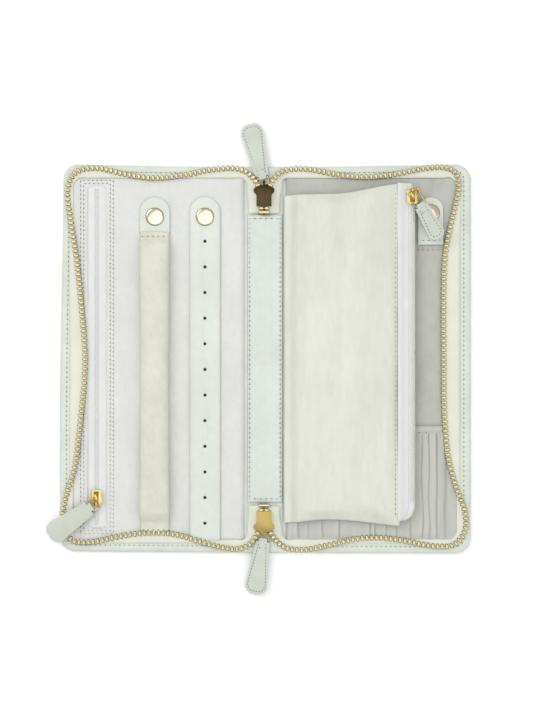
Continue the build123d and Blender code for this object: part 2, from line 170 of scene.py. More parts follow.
# ---- finishes

def leatherFinish(name, colour, spread=7, grain=1500.0, rough=0.46):
    dark, light = around(colour, spread)
    f = Finish(name)
    cells = f.node("ShaderNodeTexVoronoi", {"feature": "SMOOTH_F1"},
                   {"Vector": f.place, "Scale": grain, "Smoothness": 0.35}, "Distance")
    creases = f.cloud(grain * 0.22, 5.0)
    patches = f.cloud(34.0, 3.0)
    wear = f.cloud(240.0, 4.0)
    colour = f.ramp(patches * 0.62 + wear * 0.38, (0.32, dark), (0.66, light))
    height = cells * 0.6 + creases * 0.5
    dulled = f.level(cells * 0.5 + patches * 0.5, rough - 0.08, rough + 0.12)
    return f.done({"Base Color": colour, "Roughness": dulled,
                  "Normal": f.bump(height, 0.34, 0.00022), "Sheen Weight": 0.08, "Specular IOR Level": 0.42})


def napFinish(name, colour, spread, streak, scale, strength=0.5):   # microfibre or suede
    dark, light = around(colour, spread)
    f = Finish(name)
    drawn = f.stretch(*streak)
    brushed = f.cloud(scale, 6.0, drawn)
    mottle = f.cloud(scale * 5, 5.0, drawn)
    fibre = f.cloud(2600.0, 3.0)
    colour = f.ramp(brushed * 0.5 + mottle * 0.32 + fibre * 0.18, (0.34, dark), (0.64, light))
    height = fibre * 0.7 + mottle * 0.5
    return f.done({"Base Color": colour, "Roughness": f.level(mottle, 0.82, 0.97),
                  "Normal": f.bump(height, strength, 0.0003), "Sheen Weight": 0.35, "Sheen Roughness": 0.5,
                  "Specular IOR Level": 0.2})


def tuckedFinish(name, low, high):       # gathered cloth, with painted shade on the shaded side of each tuck and painted light on its lit side
    f = Finish(name)
    tuck = f.painted("tuck")
    mottle = f.cloud(260.0, 5.0, f.stretch(1.6, 0.3, 1.0))
    fibre = f.cloud(2600.0, 3.0)
    colour = f.ramp(tuck * 0.8 + mottle * 0.2, (0.12, seen(*low)), (0.85, seen(*high)))
    return f.done({"Base Color": colour, "Roughness": f.level(mottle, 0.82, 0.97), "Sheen Weight": 0.3,
                   "Normal": f.bump(fibre * 0.7 + mottle * 0.5, 0.5, 0.0003), "Specular IOR Level": 0.2})


def weaveFinish(name, colour, spread=6, pitch=0.5):    # twilled zip tape
    dark, light = around(colour, spread)
    f = Finish(name)
    scale = 0.16 / (pitch * mm)
    slant = f.node("ShaderNodeVectorRotate", {"rotation_type": "Z_AXIS"}, {"Vector": f.place, "Angle": 0.72})
    warp = f.wave(scale, "X", slant)
    weft = f.wave(scale, "Y", slant)
    soil = f.cloud(90.0, 4.0)
    threads = warp * weft
    colour = f.ramp(threads * 0.5 + soil * 0.5, (0.2, dark), (0.62, light))
    return f.done({"Base Color": colour, "Roughness": f.level(threads, 0.94, 0.8), "Sheen Weight": 0.2,
                  "Normal": f.bump(threads, 0.3, 0.00025), "Specular IOR Level": 0.25})


def metalFinish(name, colour, rough, spread, scratch=0.12):      # seen as it reflects the light overhead
    dark, light = around(colour, spread, overheadGain)
    f = Finish(name)
    smudge = f.cloud(130.0, 4.0)
    brush = f.cloud(700.0, 5.0, f.stretch(1.0, 0.12, 1.0))
    colour = f.ramp(smudge * 0.6 + brush * 0.4, (0.3, dark), (0.7, light))
    dulled = f.level(smudge * 0.5 + brush * 0.5, rough * 0.7, rough * 1.5)
    return f.done({"Base Color": colour, "Metallic": 1.0, "Roughness": dulled,
                  "Normal": f.bump(brush, scratch, 0.00006)})


def toothFinish(name, bright, sideShade, rough):     # painted shade on the sides, painted light on the top
    dark, light = around(bright, 12, overheadGain)
    f = Finish(name)
    topLight = f.painted("topLight")
    smudge = f.cloud(300.0, 4.0)
    colour = f.ramp(topLight * 0.9 + smudge * 0.1, (0.08, seen(*sideShade)), (0.62, dark), (0.9, light))
    return f.done({"Base Color": colour, "Metallic": 1.0, "Roughness": f.level(topLight, rough * 1.8, rough)})


def nylonFinish(name, colour, spread=6):
    dark, light = around(colour, spread)
    f = Finish(name)
    tint = f.cloud(400.0, 3.0)
    return f.done({"Base Color": f.ramp(tint, (0.35, dark), (0.65, light)),
                  "Roughness": f.level(tint, 0.34, 0.5),
                  "Normal": f.bump(f.cloud(3000.0, 2.0), 0.15, 0.0001)})


def threadFinish(name, colour, spread=12):
    dark, light = around(colour, spread)
    f = Finish(name)
    twist = f.wave(900.0, "DIAGONAL")
    colour = f.ramp(twist * 0.5 + f.cloud(800.0) * 0.5, (0.3, dark), (0.7, light))
    return f.done({"Base Color": colour, "Roughness": f.level(twist, 0.85, 0.65),
                  "Normal": f.bump(twist, 0.5, 0.0001)})


def boardFinish(name, colour, spread=12):
    dark, light = around(colour, spread)
    f = Finish(name)
    pulp = f.cloud(900.0, 6.0)
    return f.done({"Base Color": f.ramp(pulp, (0.35, dark), (0.65, light)),
                  "Roughness": f.level(pulp, 0.85, 0.96),
                  "Normal": f.bump(pulp, 0.4, 0.0002)})


print("finishes")
coverLeather = leatherFinish("coverLeather", (219, 226, 214))
stripLeather = leatherFinish("stripLeather", (218, 225, 217), 6, 1300.0, 0.42)
strapLeather = leatherFinish("strapLeather", (223, 229, 220), 5, 1400.0, 0.44)
pullLeather = leatherFinish("pullLeather", (206, 213, 200), 7, 1500.0, 0.48)
edgePaint = leatherFinish("edgePaint", (165, 172, 156), 7, 1500.0, 0.4)
liningNap = napFinish("liningNap", (228, 229, 225), 6, (1.0, 0.7, 1.0), 70.0)
shadedNap = napFinish("shadedNap", (193, 194, 186), 9, (1.0, 0.5, 1.0), 60.0)
rollSuede = napFinish("rollSuede", (225, 226, 210), 7, (1.0, 0.6, 1.0), 90.0, 0.8)
pouchSuede = napFinish("pouchSuede", (227, 229, 217), 8, (1.6, 0.45, 1.0), 45.0, 0.6)
pocketNap = tuckedFinish("pocketNap", (168, 169, 159), (214, 216, 208))
mainTapeWeave = weaveFinish("mainTapeWeave", (235, 236, 222))
innerTapeWeave = weaveFinish("innerTapeWeave", (235, 236, 234), 5, 0.45)
# teeth: the second colour is the painted shade on their sides
brassTooth = toothFinish("brassTooth", (222, 206, 148), (104, 92, 50), 0.22)
sliderGilt = metalFinish("sliderGilt", (201, 176, 108), 0.34, 8)
brightGilt = metalFinish("brightGilt", (232, 203, 128), 0.2, 14)
# painted reflection: gilt darkened as if it mirrored a dark camera above it
darkReflectionGilt = metalFinish("darkReflectionGilt", (74, 64, 43), 0.2, 14)
snapGilt = metalFinish("snapGilt", (250, 238, 205), 0.1, 5, 0.04)
whiteCoil = nylonFinish("whiteCoil", (232, 233, 237))
seamThread = threadFinish("seamThread", (205, 212, 200))
paleThread = threadFinish("paleThread", (214, 215, 206))
# painted shade inside the needle holes
stitchHoleShade = threadFinish("stitchHoleShade", (96, 103, 90), 8)
fibreBoard = boardFinish("fibreBoard", (150, 145, 136))
# painted shade for the strap's punched holes
holeShade = boardFinish("holeShade", (62, 64, 58))


# ---- mesh helpers

def newPiece(name, mesh, finish=None, smooth=True):
    piece = bpy.data.objects.new(name, mesh)
    bpy.context.scene.collection.objects.link(piece)
    if finish:
        mesh.materials.clear()
        mesh.materials.append(finish)
    for face in mesh.polygons:
        face.use_smooth = smooth
    return piece


def meshFrom(name, points, faces):       # points in millimetres
    mesh = bpy.data.meshes.new(name)
    mesh.from_pydata([Vector(p) * mm for p in points], [], faces)
    mesh.update()
    return mesh


def outward(mesh):
    work = bmesh.new()
    work.from_mesh(mesh)
    bmesh.ops.remove_doubles(work, verts=work.verts, dist=1e-6)
    bmesh.ops.recalc_face_normals(work, faces=work.faces)
    work.to_mesh(mesh)
    work.free()
    return mesh


def gridFaces(columns, rows):            # between the points of a grid, column by column
    starts = [i * rows + j for i in range(columns - 1) for j in range(rows - 1)]
    return [(a, a + rows, a + rows + 1, a + 1) for a in starts]


def ringFaces(rings, count):             # between closed rings of points
    faces = []
    for ring in range(rings - 1):
        for k in range(count):
            a = ring * count + k
            b = ring * count + (k + 1) % count
            faces.append((a, b, b + count, a + count))
    return faces


def fanFaces(first, count, tip):
    return [(first + k, first + (k + 1) % count, tip) for k in range(count)]


def finishPiece(piece):                  # applies whatever modifiers are on the piece
    bpy.context.view_layer.update()
    shape = piece.evaluated_get(bpy.context.evaluated_depsgraph_get())
    mesh = bpy.data.meshes.new_from_object(shape)
    piece.modifiers.clear()
    old = piece.data
    piece.data = mesh
    bpy.data.meshes.remove(old)
    return piece


def thicken(piece, thickness, offset=-1.0):
    change = piece.modifiers.new("thickness", "SOLIDIFY")
    change.thickness = thickness * mm
    change.offset = offset
    return finishPiece(piece)


def rounded(piece, levels=1):
    change = piece.modifiers.new("round", "SUBSURF")
    change.levels = levels
    change.render_levels = levels
    return piece


def smoothed(piece):
    for face in piece.data.polygons:
        face.use_smooth = True
    return piece


def soften(piece, width, segments):
    change = piece.modifiers.new("edges", "BEVEL")
    change.width = width * mm
    change.segments = segments
    change.limit_method = "ANGLE"
    change.angle_limit = math.radians(30)
    return finishPiece(piece)


def pieceName(node):
    words = node.split("_")
    return words[0] + "".join(w.title() for w in words[1:])


def dressed(node, body, finish, width, segments=3, edge=None):     # the frame's own shape, edges rounded
    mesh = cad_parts[node].data.copy()
    mesh.name = node + "Mesh"
    work = bmesh.new()
    work.from_mesh(mesh)
    bmesh.ops.remove_doubles(work, verts=work.verts, dist=2e-6)
    bmesh.ops.dissolve_limit(work, angle_limit=0.02, verts=work.verts, edges=work.edges)
    work.to_mesh(mesh)
    work.free()
    piece = newPiece(pieceName(node), mesh, finish)
    smoothed(soften(piece, width, segments))
    if edge:                             # the painted cut edge of a leather piece
        piece.data.materials.append(edge)
        for face in piece.data.polygons:
            face.material_index = 1 if abs(face.normal.z) < 0.55 else 0
    return settle(piece, body, node)


def settle(piece, body, *nodes):         # attaches the piece to its body, if one is given, and hides the given frame parts
    if body:
        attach(piece, body)
    if nodes:
        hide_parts(*nodes)
    return piece


def bendy(piece, word, side, start, end):      # bakes the piece's placement into its mesh
    word + "_panel"
    side * start * mm
    side * end * mm
    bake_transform(piece)


def curveThrough(points, step=0.8):      # even samples of a smooth curve through given points
    points = [Vector(p) for p in points]
    full = [2 * points[0] - points[1]] + points + [2 * points[-1] - points[-2]]
    fine = []
    for a, b, c, d in zip(full, full[1:], full[2:], full[3:]):
        for index in range(24):
            t = index / 24
            fine.append(0.5 * (2 * b + (c - a) * t + (2 * a - 5 * b + 4 * c - d) * t ** 2
                               + (3 * b - a - 3 * c + d) * t ** 3))
    fine.append(points[-1])
    even = [fine[0]]
    for point in fine[1:]:
        if (point - even[-1]).length >= step:
            even.append(point)
    return even


def tube(path, profile):                 # quads that join one profile to the next, open at both ends
    return [(a, d, c, b) for a, b, c, d in gridFaces(len(path), len(profile))]


def smoothStep(value, low, high):
    t = min(1.0, max(0.0, (value - low) / (high - low)))
    return t * t * (3 - 2 * t)


def bell(value, width):
    return math.exp(-(value / width) ** 2)


def rough(seed, x, y, scaleX, scaleY):   # soft unevenness, the same on each run
    return noise.noise(Vector((x * scaleX, y * scaleY, seed)))


def rowOn(piece, places, lift):          # a line of points laid on top of a piece
    mesh = piece.data
    tree = BVHTree.FromPolygons([v.co for v in mesh.vertices], [p.vertices for p in mesh.polygons])
    hits = [tree.ray_cast(Vector((x, y, 40)) * mm, Vector((0, 0, -1)))[0] for x, y in places]
    return [(x, y, hit.z / mm + lift) for (x, y), hit in zip(places, hits) if hit]


# ---- what repeats along a line: teeth, coil turns and stitches

def alongTree():
    tree = bpy.data.node_groups.new("along", "GeometryNodeTree")
    face = tree.interface
    face.new_socket("Line", in_out="INPUT", socket_type="NodeSocketGeometry")
    face.new_socket("Shape", in_out="INPUT", socket_type="NodeSocketObject")
    face.new_socket("Pitch", in_out="INPUT", socket_type="NodeSocketFloat")
    face.new_socket("Wobble", in_out="INPUT", socket_type="NodeSocketFloat")
    face.new_socket("Finish", in_out="INPUT", socket_type="NodeSocketMaterial")
    face.new_socket("Result", in_out="OUTPUT", socket_type="NodeSocketGeometry")

    def add(kind, **settings):
        made = tree.nodes.new(kind)
        for key, value in settings.items():
            setattr(made, key, value)
        return made

    def link(a, output, b, target):
        tree.links.new(a.outputs[output], b.inputs[target])

    start = add("NodeGroupInput")
    end = add("NodeGroupOutput")
    toCurve = add("GeometryNodeMeshToCurve")
    resample = add("GeometryNodeResampleCurve", mode="LENGTH")
    tangent = add("GeometryNodeInputTangent")
    align = add("FunctionNodeAlignRotationToVector", axis="X", pivot_axis="Z")
    shape = add("GeometryNodeObjectInfo")
    turn = add("FunctionNodeRandomValue", data_type="FLOAT")
    turn.inputs["Seed"].default_value = 7
    scaled = add("ShaderNodeMath", operation="MULTIPLY")
    angle = add("ShaderNodeCombineXYZ")
    toRotation = add("FunctionNodeEulerToRotation")
    both = add("FunctionNodeRotateRotation", rotation_space="LOCAL")
    place = add("GeometryNodeInstanceOnPoints")
    real = add("GeometryNodeRealizeInstances")
    paint = add("GeometryNodeSetMaterial")
    link(start, "Line", toCurve, "Mesh")
    link(toCurve, "Curve", resample, "Curve")
    link(start, "Pitch", resample, "Length")
    link(resample, "Curve", place, "Points")
    link(tangent, "Tangent", align, "Vector")
    turn.inputs[2].default_value = -1.0
    turn.inputs[3].default_value = 1.0
    tree.links.new(turn.outputs[1], scaled.inputs[0])
    tree.links.new(start.outputs["Wobble"], scaled.inputs[1])
    tree.links.new(scaled.outputs[0], angle.inputs["Z"])
    tree.links.new(angle.outputs[0], toRotation.inputs[0])
    link(align, "Rotation", both, "Rotation")
    link(toRotation, "Rotation", both, "Rotate By")
    link(both, "Rotation", place, "Rotation")
    link(start, "Shape", shape, "Object")
    link(shape, "Geometry", place, "Instance")
    link(place, "Instances", real, "Geometry")
    link(real, "Geometry", paint, "Geometry")
    link(start, "Finish", paint, "Material")
    link(paint, "Geometry", end, "Result")
    return tree


repeatTree = alongTree()


def repeatAlong(name, lines, shape, pitch, finish, wobble=0.0):     # lines in millimetres
    points = []
    edges = []
    for line in lines:
        base = len(points)
        points += line
        edges += [(base + k, base + k + 1) for k in range(len(line) - 1)]
    mesh = bpy.data.meshes.new(name)
    mesh.from_pydata([Vector(p) * mm for p in points], edges, [])
    source = bpy.data.objects.new(name + "Line", mesh)
    bpy.context.scene.collection.objects.link(source)
    change = source.modifiers.new("along", "NODES")
    change.node_group = repeatTree
    treeItems = repeatTree.interface.items_tree
    names = {item.name: item.identifier for item in treeItems if item.in_out == "INPUT"}
    change[names["Shape"]] = shape
    change[names["Pitch"]] = pitch * mm
    change[names["Wobble"]] = wobble
    change[names["Finish"]] = finish
    bpy.context.view_layer.update()
    made = bpy.data.meshes.new_from_object(source.evaluated_get(bpy.context.evaluated_depsgraph_get()))
    bpy.data.objects.remove(source)
    return newPiece(name, made)


def pattern(name, points, faces, rounds=0):       # a small shape to repeat, later removed
    shape = newPiece(name, outward(meshFrom(name, points, faces)))
    return finishPiece(rounded(shape, rounds)) if rounds else shape


def blockPoints(lengthX, lengthY, height, pinchTop=1.0, lift=0.0):
    points = []
    for z, pinch in ((0.0, 1.0), (height, pinchTop)):
        for x, y in ((-1, -1), (1, -1), (1, 1), (-1, 1)):
            points.append((x * lengthX / 2 * pinch, y * lengthY / 2 * pinch, z + lift))
    faces = [(3, 2, 1, 0), (4, 5, 6, 7), (0, 1, 5, 4), (1, 2, 6, 5), (2, 3, 7, 6), (3, 0, 4, 7)]
    return points, faces


stitchSizes = {
    "length": 1.7, "width": 0.6, "height": 0.4, "pitch": 2.65, "sink": -0.18, "wobble": 0.09,
    "hole": 1.0,         # across one needle hole
}


def stitchShapes():                      # the thread, and the dimple where the needle went in, coloured dark as painted shade
    s = stitchSizes
    thread = blockPoints(s["length"], s["width"], s["height"], 0.72, s["sink"])
    dimple = blockPoints(s["hole"], s["hole"] * 0.85, 0.4, 0.9, -0.2)
    return pattern("stitchShape", *thread, 1), pattern("holeShape", *dimple, 1)


stitchBead, stitchHole = stitchShapes()


def later(line, skip):                   # the same line, starting further along
    line = [Vector(p) for p in line]
    while len(line) > 2 and (line[1] - line[0]).length < skip:
        skip -= (line[1] - line[0]).length
        line = line[1:]
    line[0] = line[0] + (line[1] - line[0]).normalized() * skip
    return [tuple(p) for p in line]


def stitches(name, body, lines, finish, pitch=None):
    pitch = pitch or stitchSizes["pitch"]
    wobble = stitchSizes["wobble"]
    piece = repeatAlong(name, lines, stitchBead, pitch, finish, wobble)
    between = [later(line, pitch / 2) for line in lines]
    holes = repeatAlong(name + "Holes", between, stitchHole, pitch, stitchHoleShade, wobble)
    settle(holes, body)
    return settle(piece, body)


# ---- leather of the covers

coverSizes = {
    # cross-section of the turned edge: inset from the outline, height
    "edge": ((6.7, 2.62), (6.9, 3.1), (6.6, 3.46), (5.7, 3.6), (4.5, 3.5), (4.0, 3.36), (3.5, 3.5),
             (2.4, 3.6), (1.3, 3.54), (0.55, 3.2), (0.12, 2.5), (0.0, 1.75), (0.1, 0.9), (0.5, 0.28),
             (1.3, 0.02), (2.6, 0.0)),
    "inside": ((5.0, 2.6), (1.6, 2.55), (1.15, 1.8), (1.6, 1.0), (2.6, 0.95)),
    "stitchInset": 3.9,
    "stitchHeight": 3.46,
    "boardShrink": (0.965, 0.968),     # keeps the board inside the worn outline
}


def coverOutline(side):                  # from the spine's top round the cover to the spine's bottom
    top = []
    straight = halfWidth - cornerRadius
    x = 0.0
    while x < straight:
        top.append((x, halfHeight, 0.0, -1.0))
        near = abs(x - (spineEdge + coverEdge) / 2) < 4
        x += 0.5 if near else 2.0
    for index in range(13):
        angle = math.radians(90 - 90 * index / 12)
        cx = straight + cornerRadius * math.cos(angle)
        cy = halfHeight - cornerRadius + cornerRadius * math.sin(angle)
        top.append((cx, cy, -math.cos(angle), -math.sin(angle)))
    for index in range(1, 26):
        top.append((halfWidth, (halfHeight - cornerRadius) * (1 - index / 25), -1.0, 0.0))
    whole = top + [(x, -y, nx, -ny) for x, y, nx, ny in reversed(top[:-1])]
    return [(side * x, y, side * nx, ny) for x, y, nx, ny in whole]


def worn(x, y):                          # sags a little towards the spine and leans at the left
    share = min(1.0, abs(x) / halfWidth)
    if y > 0:
        y -= 1.7 * (1 - share ** 2) * min(1.0, y / halfHeight) ** 4
    else:
        y += (0.3 + (1.0 * share if x < 0 else -0.3 * share)) * min(1.0, -y / halfHeight) ** 4
    if x < 0:
        x += (0.3 + 2.0 * smoothStep(y, -40, halfHeight)) * share ** 6
    return x, y


def turnedLeather(side, word):
    outline = coverOutline(side)
    loop = coverSizes["inside"][::-1] + coverSizes["edge"]
    rings = len(loop)
    points = []
    for x, y, nx, ny in outline:
        for inset, z in loop:
            ripple = 0.05 * noise.noise(Vector((x * 0.11, y * 0.11, inset * 0.4 + z)))
            edgeX, edgeY = worn(x + nx * (inset + ripple), y + ny * (inset + ripple))
            points.append((edgeX, edgeY, max(0.0, z + ripple * (z > 0.5))))
    faces = tube(outline, loop)
    count = len(outline)
    half = count // 2
    for level, first in ((rings - 1, 0), (0, 1)):
        for index in range(half):
            a = index * rings + level
            b = (index + 1) * rings + level
            c = (count - 2 - index) * rings + level
            d = (count - 1 - index) * rings + level
            if index + 1 >= count - 2 - index:
                faces.append((a, b, d))
                break
            faces.append((a, b, c, d))
    near = list(range(rings))
    far = [(count - 1) * rings + k for k in range(rings)]
    faces.append(tuple(near + far[::-1]))
    piece = newPiece(word + "Skin", outward(meshFrom(word + "Skin", points, faces)), coverLeather)
    bendy(piece, word, side, spineEdge - 0.6, coverEdge + 1.2)
    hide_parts(word + "_outer_leather", word + "_rim")


def rimLine(side):
    inset = coverSizes["stitchInset"]
    line = []
    for x, y, nx, ny in coverOutline(side):
        if abs(x) > coverEdge + 2:
            line.append((*worn(x + nx * inset, y + ny * inset), coverSizes["stitchHeight"]))
    return line


print("covers")
for side, word in ((-1, "left"), (1, "right")):
    turnedLeather(side, word)
    stitches(word + "RimStitches", word + "_panel", [rimLine(side)], seamThread)
    board = dressed(word + "_board", word + "_panel", fibreBoard, 0.1, 1)
    shrinkX, shrinkY = coverSizes["boardShrink"]
    for vertex in board.data.vertices:
        reach = abs(vertex.co.x) - coverEdge * mm
        vertex.co.x = side * (coverEdge * mm + reach * shrinkX)
        vertex.co.y *= shrinkY


# ---- linings

liningSizes = {
    "thickness": 0.5, "step": 3.0, "ripple": 0.16,
    "tuckedUnder": 1.2,      # how far it runs on under the zip tape
    "hem": 0.35,             # height of the ridge round the pocket's opening
    "fold": 0.45,            # and of the folded edge itself
}


def gridLines(low, high, step, extra=()):
    count = max(1, round((high - low) / step))
    lines = [low + (high - low) * k / count for k in range(count + 1)]
    for value in extra:
        if low < value < high:
            lines = [v for v in lines if abs(v - value) > 0.35] + [value]
    return sorted(lines)


def slabGrid(xs, ys, heightAt):
    return [(x, y, heightAt(x, y)) for x in xs for y in ys], gridFaces(len(xs), len(ys))


def liningSheet(side, word, finish, window=None):
    s = liningSizes
    inner = coverEdge + 0.3
    outer = halfWidth - seamInset + s["tuckedUnder"]
    high = halfHeight - seamInset + s["tuckedUnder"]
    extraX = []
    extraY = []
    if window:
        x0, x1, y0, y1 = window
        for d in (-1.6, -0.8, 0.0):
            extraX += [x0 + d, x1 - d]
            extraY += [y0 + d, y1 - d]
    xs = gridLines(*sorted((side * inner, side * outer)), s["step"], extraX)
    ys = gridLines(-high, high, s["step"] * 1.4, extraY)

    def heightAt(x, y):
        soft = rough(3.1 * side, x, y, 0.035, 0.02) + 0.4 * rough(9.0, x, y, 0.1, 0.06)
        z = liningTop + s["ripple"] * soft
        if window:
            gap = max(x0 - x, x - x1, y0 - y, y - y1)
            z += s["hem"] * max(0.0, 1 - abs(gap - 0.8) / 1.2) if gap > -0.1 else 0.0
            z += s["fold"] if abs(gap) < 0.05 else 0.0
        return z

    def cutOut(face):
        x = xs[face[0] // len(ys)]
        y = ys[face[0] % len(ys)]
        return window and x0 - 0.01 < x < x1 - 0.01 and y0 - 0.01 < y < y1 - 0.01

    points, faces = slabGrid(xs, ys, heightAt)
    mesh = meshFrom(word + "Lining", points, [face for face in faces if not cutOut(face)])
    piece = newPiece(word + "LiningCloth", mesh, finish)
    thicken(piece, s["thickness"])
    settle(piece, word + "_panel", word + "_lining")
    (outer - inner) * mm
    2 * high * mm


print("linings")
pocketZip = corners("pocket_zip_tapes")
windowX0 = pocketZip[0][0] - 0.3
windowX1 = pocketZip[1][0] + 0.7
windowY0 = pocketZip[0][1] + 1.6
windowY1 = pocketZip[1][1] - 1.6
liningSheet(-1, "left", liningNap, (windowX0, windowX1, windowY0, windowY1))
liningSheet(1, "right", shadedNap)
rowY = corners("necklace_tab_1_leather")[0][1] - 2.6
rowZ = liningTop + 0.3
row = [(coverEdge + 2, rowY, rowZ), (halfWidth - seamInset - 6, rowY, rowZ)]
stitches("liningRowStitches", "right_panel", [row], paleThread)


# ---- spine

spineSizes = {
    "floorEdge": 12.4, "floorMiddle": 6.4, "floorThickness": 0.3,
    "dip": 0.62,             # how deep the leather lies in the fold
    "stripEdge": 9.7, "stripThickness": 0.6,
    "rollOff": 0.7,          # how far the strip's edges turn down
    "stitchX": 8.4, "stitchEnd": 2.4,
    "boardShrink": 0.965,
}


def spineFloor():                        # a middle piece, and one at each side that dips into the fold
    s = spineSizes

    def floorHeight(x, y):               # dips in the fold and slips under the lining's edge
        return liningTop - s["dip"] * smoothStep(abs(x), 9.2, 10.6) + 0.05 * rough(1.0, x, y, 0.2, 0.08)

    def floorPiece(name, xs):
        mesh = meshFrom(name, *slabGrid(xs, ys, floorHeight))
        return thicken(newPiece(name + "Leather", mesh, stripLeather), s["floorThickness"])

    ys = gridLines(-halfHeight + seamInset - 0.5, halfHeight - seamInset + 0.5, 3.0)
    for side, word in ((-1, "left"), (1, "right")):
        floor = floorPiece(word + "Gutter", gridLines(*sorted((side * 6.0, side * s["floorEdge"])), 0.4))
        bendy(floor, word, side, spineEdge - 0.4, coverEdge + 0.4)
    floor = floorPiece("spineFloor", gridLines(-s["floorMiddle"], s["floorMiddle"], 1.6))
    settle(floor, "spine", "spine_inner_leather", "spine_outer_leather")


def spineStrip():
    s = spineSizes
    stripEnd, stripTop = corners("spine_strip")[1][1:]
    wide = s["stripEdge"]

    def stripHeight(x, y):
        side = smoothStep(wide - abs(x), 0.0, 0.9)
        end = smoothStep(stripEnd - abs(y), 0.0, 0.9)
        crown = 0.3 * math.cos(x / wide * 1.4) + 0.22 * rough(5.0, x, y, 0.16, 0.02)
        crown -= 0.16 * bell(x - 3.2 - 1.5 * math.sin(y * 0.03), 0.7) * smoothStep(-y, 5, 50)   # crease
        crown += 0.2 * rough(9.0, x, y, 0.55, 0.022) * smoothStep(wide - abs(x), 2.5, 5.0)
        return stripTop - s["rollOff"] * (1 - side * end) + crown - 0.22 * bell(abs(x) - s["stitchX"], 0.5)

    xs = gridLines(-wide, wide, 0.6)
    ends = [sign * (stripEnd - back) for back in (0.4, 0.9) for sign in (-1, 1)]
    ys = gridLines(-stripEnd, stripEnd, 2.0, ends)
    mesh = meshFrom("spineStrip", *slabGrid(xs, ys, stripHeight))
    strip = newPiece("spineStripLeather", mesh, stripLeather)
    thicken(strip, s["stripThickness"])
    settle(strip, "spine", "spine_strip")
    x = s["stitchX"]
    low = stripEnd - s["stitchEnd"]
    rows = [[(sign * x, -low, stripTop), (sign * x, low, stripTop)] for sign in (-1, 1)]
    for y in (-low, low):
        rows.append([(u, y, stripHeight(u, y) + 0.08) for u in gridLines(1.6 - x, x - 1.6, 1.0)])
    stitches("spineStitches", "spine", rows, seamThread)


print("spine")
spineFloor()
spineStrip()
board = dressed("spine_board", "spine", fibreBoard, 0.1, 1)
for vertex in board.data.vertices:
    vertex.co.y *= spineSizes["boardShrink"]


# ---- main zip

chainSizes = {
    "pitch": 2.6,
    "toothHeight": 4.05,      # underside of the teeth on the covers
    "sliderLift": 2.3,        # how much higher the chain runs inside the sliders
    "tapeThickness": 0.55,
}

leftChain = [
    (-2.0, 80.2), (-2.0, 86), (-2.7, 92), (-4.6, 96.6), (-7.4, 100.4), (-12, 103.7), (-19, 104.9),
    (-32, 103.6), (-46, 100.8), (-61, 99.4), (-76, 101.3), (-92, 104.9), (-104, 102.6), (-108.6, 93),
    (-107, 77), (-103, 50),
    (-99.4, 10), (-99.2, -10), (-102, -40), (-104.5, -59), (-110, -78), (-111.4, -91), (-106, -99.8),
    (-95, -100.8), (-78, -97.3), (-62, -95.7), (-48, -96.9), (-33, -101.3), (-20, -104.4), (-12.6, -104.2),
    (-7.6, -101.2), (-4.6, -96.8), (-2.7, -92), (-2.0, -86), (-2.0, -80.2),
]
rightChain = [
    (1.0, 80.2), (1.0, 86), (1.7, 92), (3.8, 96.8), (7.2, 101.4), (13, 104.1), (24, 104.3), (41, 101.1),
    (55, 99.9), (70, 101.2), (88, 104.8), (99, 105.2), (105, 102), (106.6, 94), (104, 81), (100, 63),
    (98.4, 45), (98.3, 0), (98.7, -30), (100.6, -53), (105, -70), (110, -84), (110, -95), (103.5, -102.4),
    (92, -103), (76, -100), (62, -98.4), (50, -99.2), (36, -102.3), (24, -104.9), (14, -104.7), (8, -101.6),
    (4.0, -96.8), (1.7, -92), (1.0, -86), (1.0, -80.2),
]


def chainHeight(x, y):                   # lifts towards the sliders, and dives under the strip's ends
    lift = 1 - smoothStep(abs(x), 2.5, 13.0)
    dive = 1 - smoothStep(abs(y), 80.0, 84.5)
    wave = 0.25 * noise.noise(Vector((x * 0.03, y * 0.03, 2.0)))
    if y < 0:
        wave += 0.9 * math.exp(-((x + 33) / 11) ** 4)      # rides over the end of the earring strap
    raised = chainSizes["sliderLift"] * lift * (1 - 0.75 * dive)
    return chainSizes["toothHeight"] + raised + wave * (1 - lift)


def insideSeam(x, y):                    # how far a point is inside the line where the tape is sewn
    dx = halfWidth - seamInset - abs(x)
    dy = halfHeight - seamInset - abs(y)
    radius = cornerRadius - 3
    if dx < radius and dy < radius:
        return radius - math.hypot(radius - dx, radius - dy)
    return min(dx, dy)


def chainFrames(points, side):
    path = curveThrough(points, 1.0)
    frames = []
    for index, point in enumerate(path):
        along = (path[min(index + 1, len(path) - 1)] - path[max(index - 1, 0)]).normalized()
        inward = Vector((-along.y, along.x)) * (1 if side < 0 else -1)
        frames.append((point, inward))
    return frames


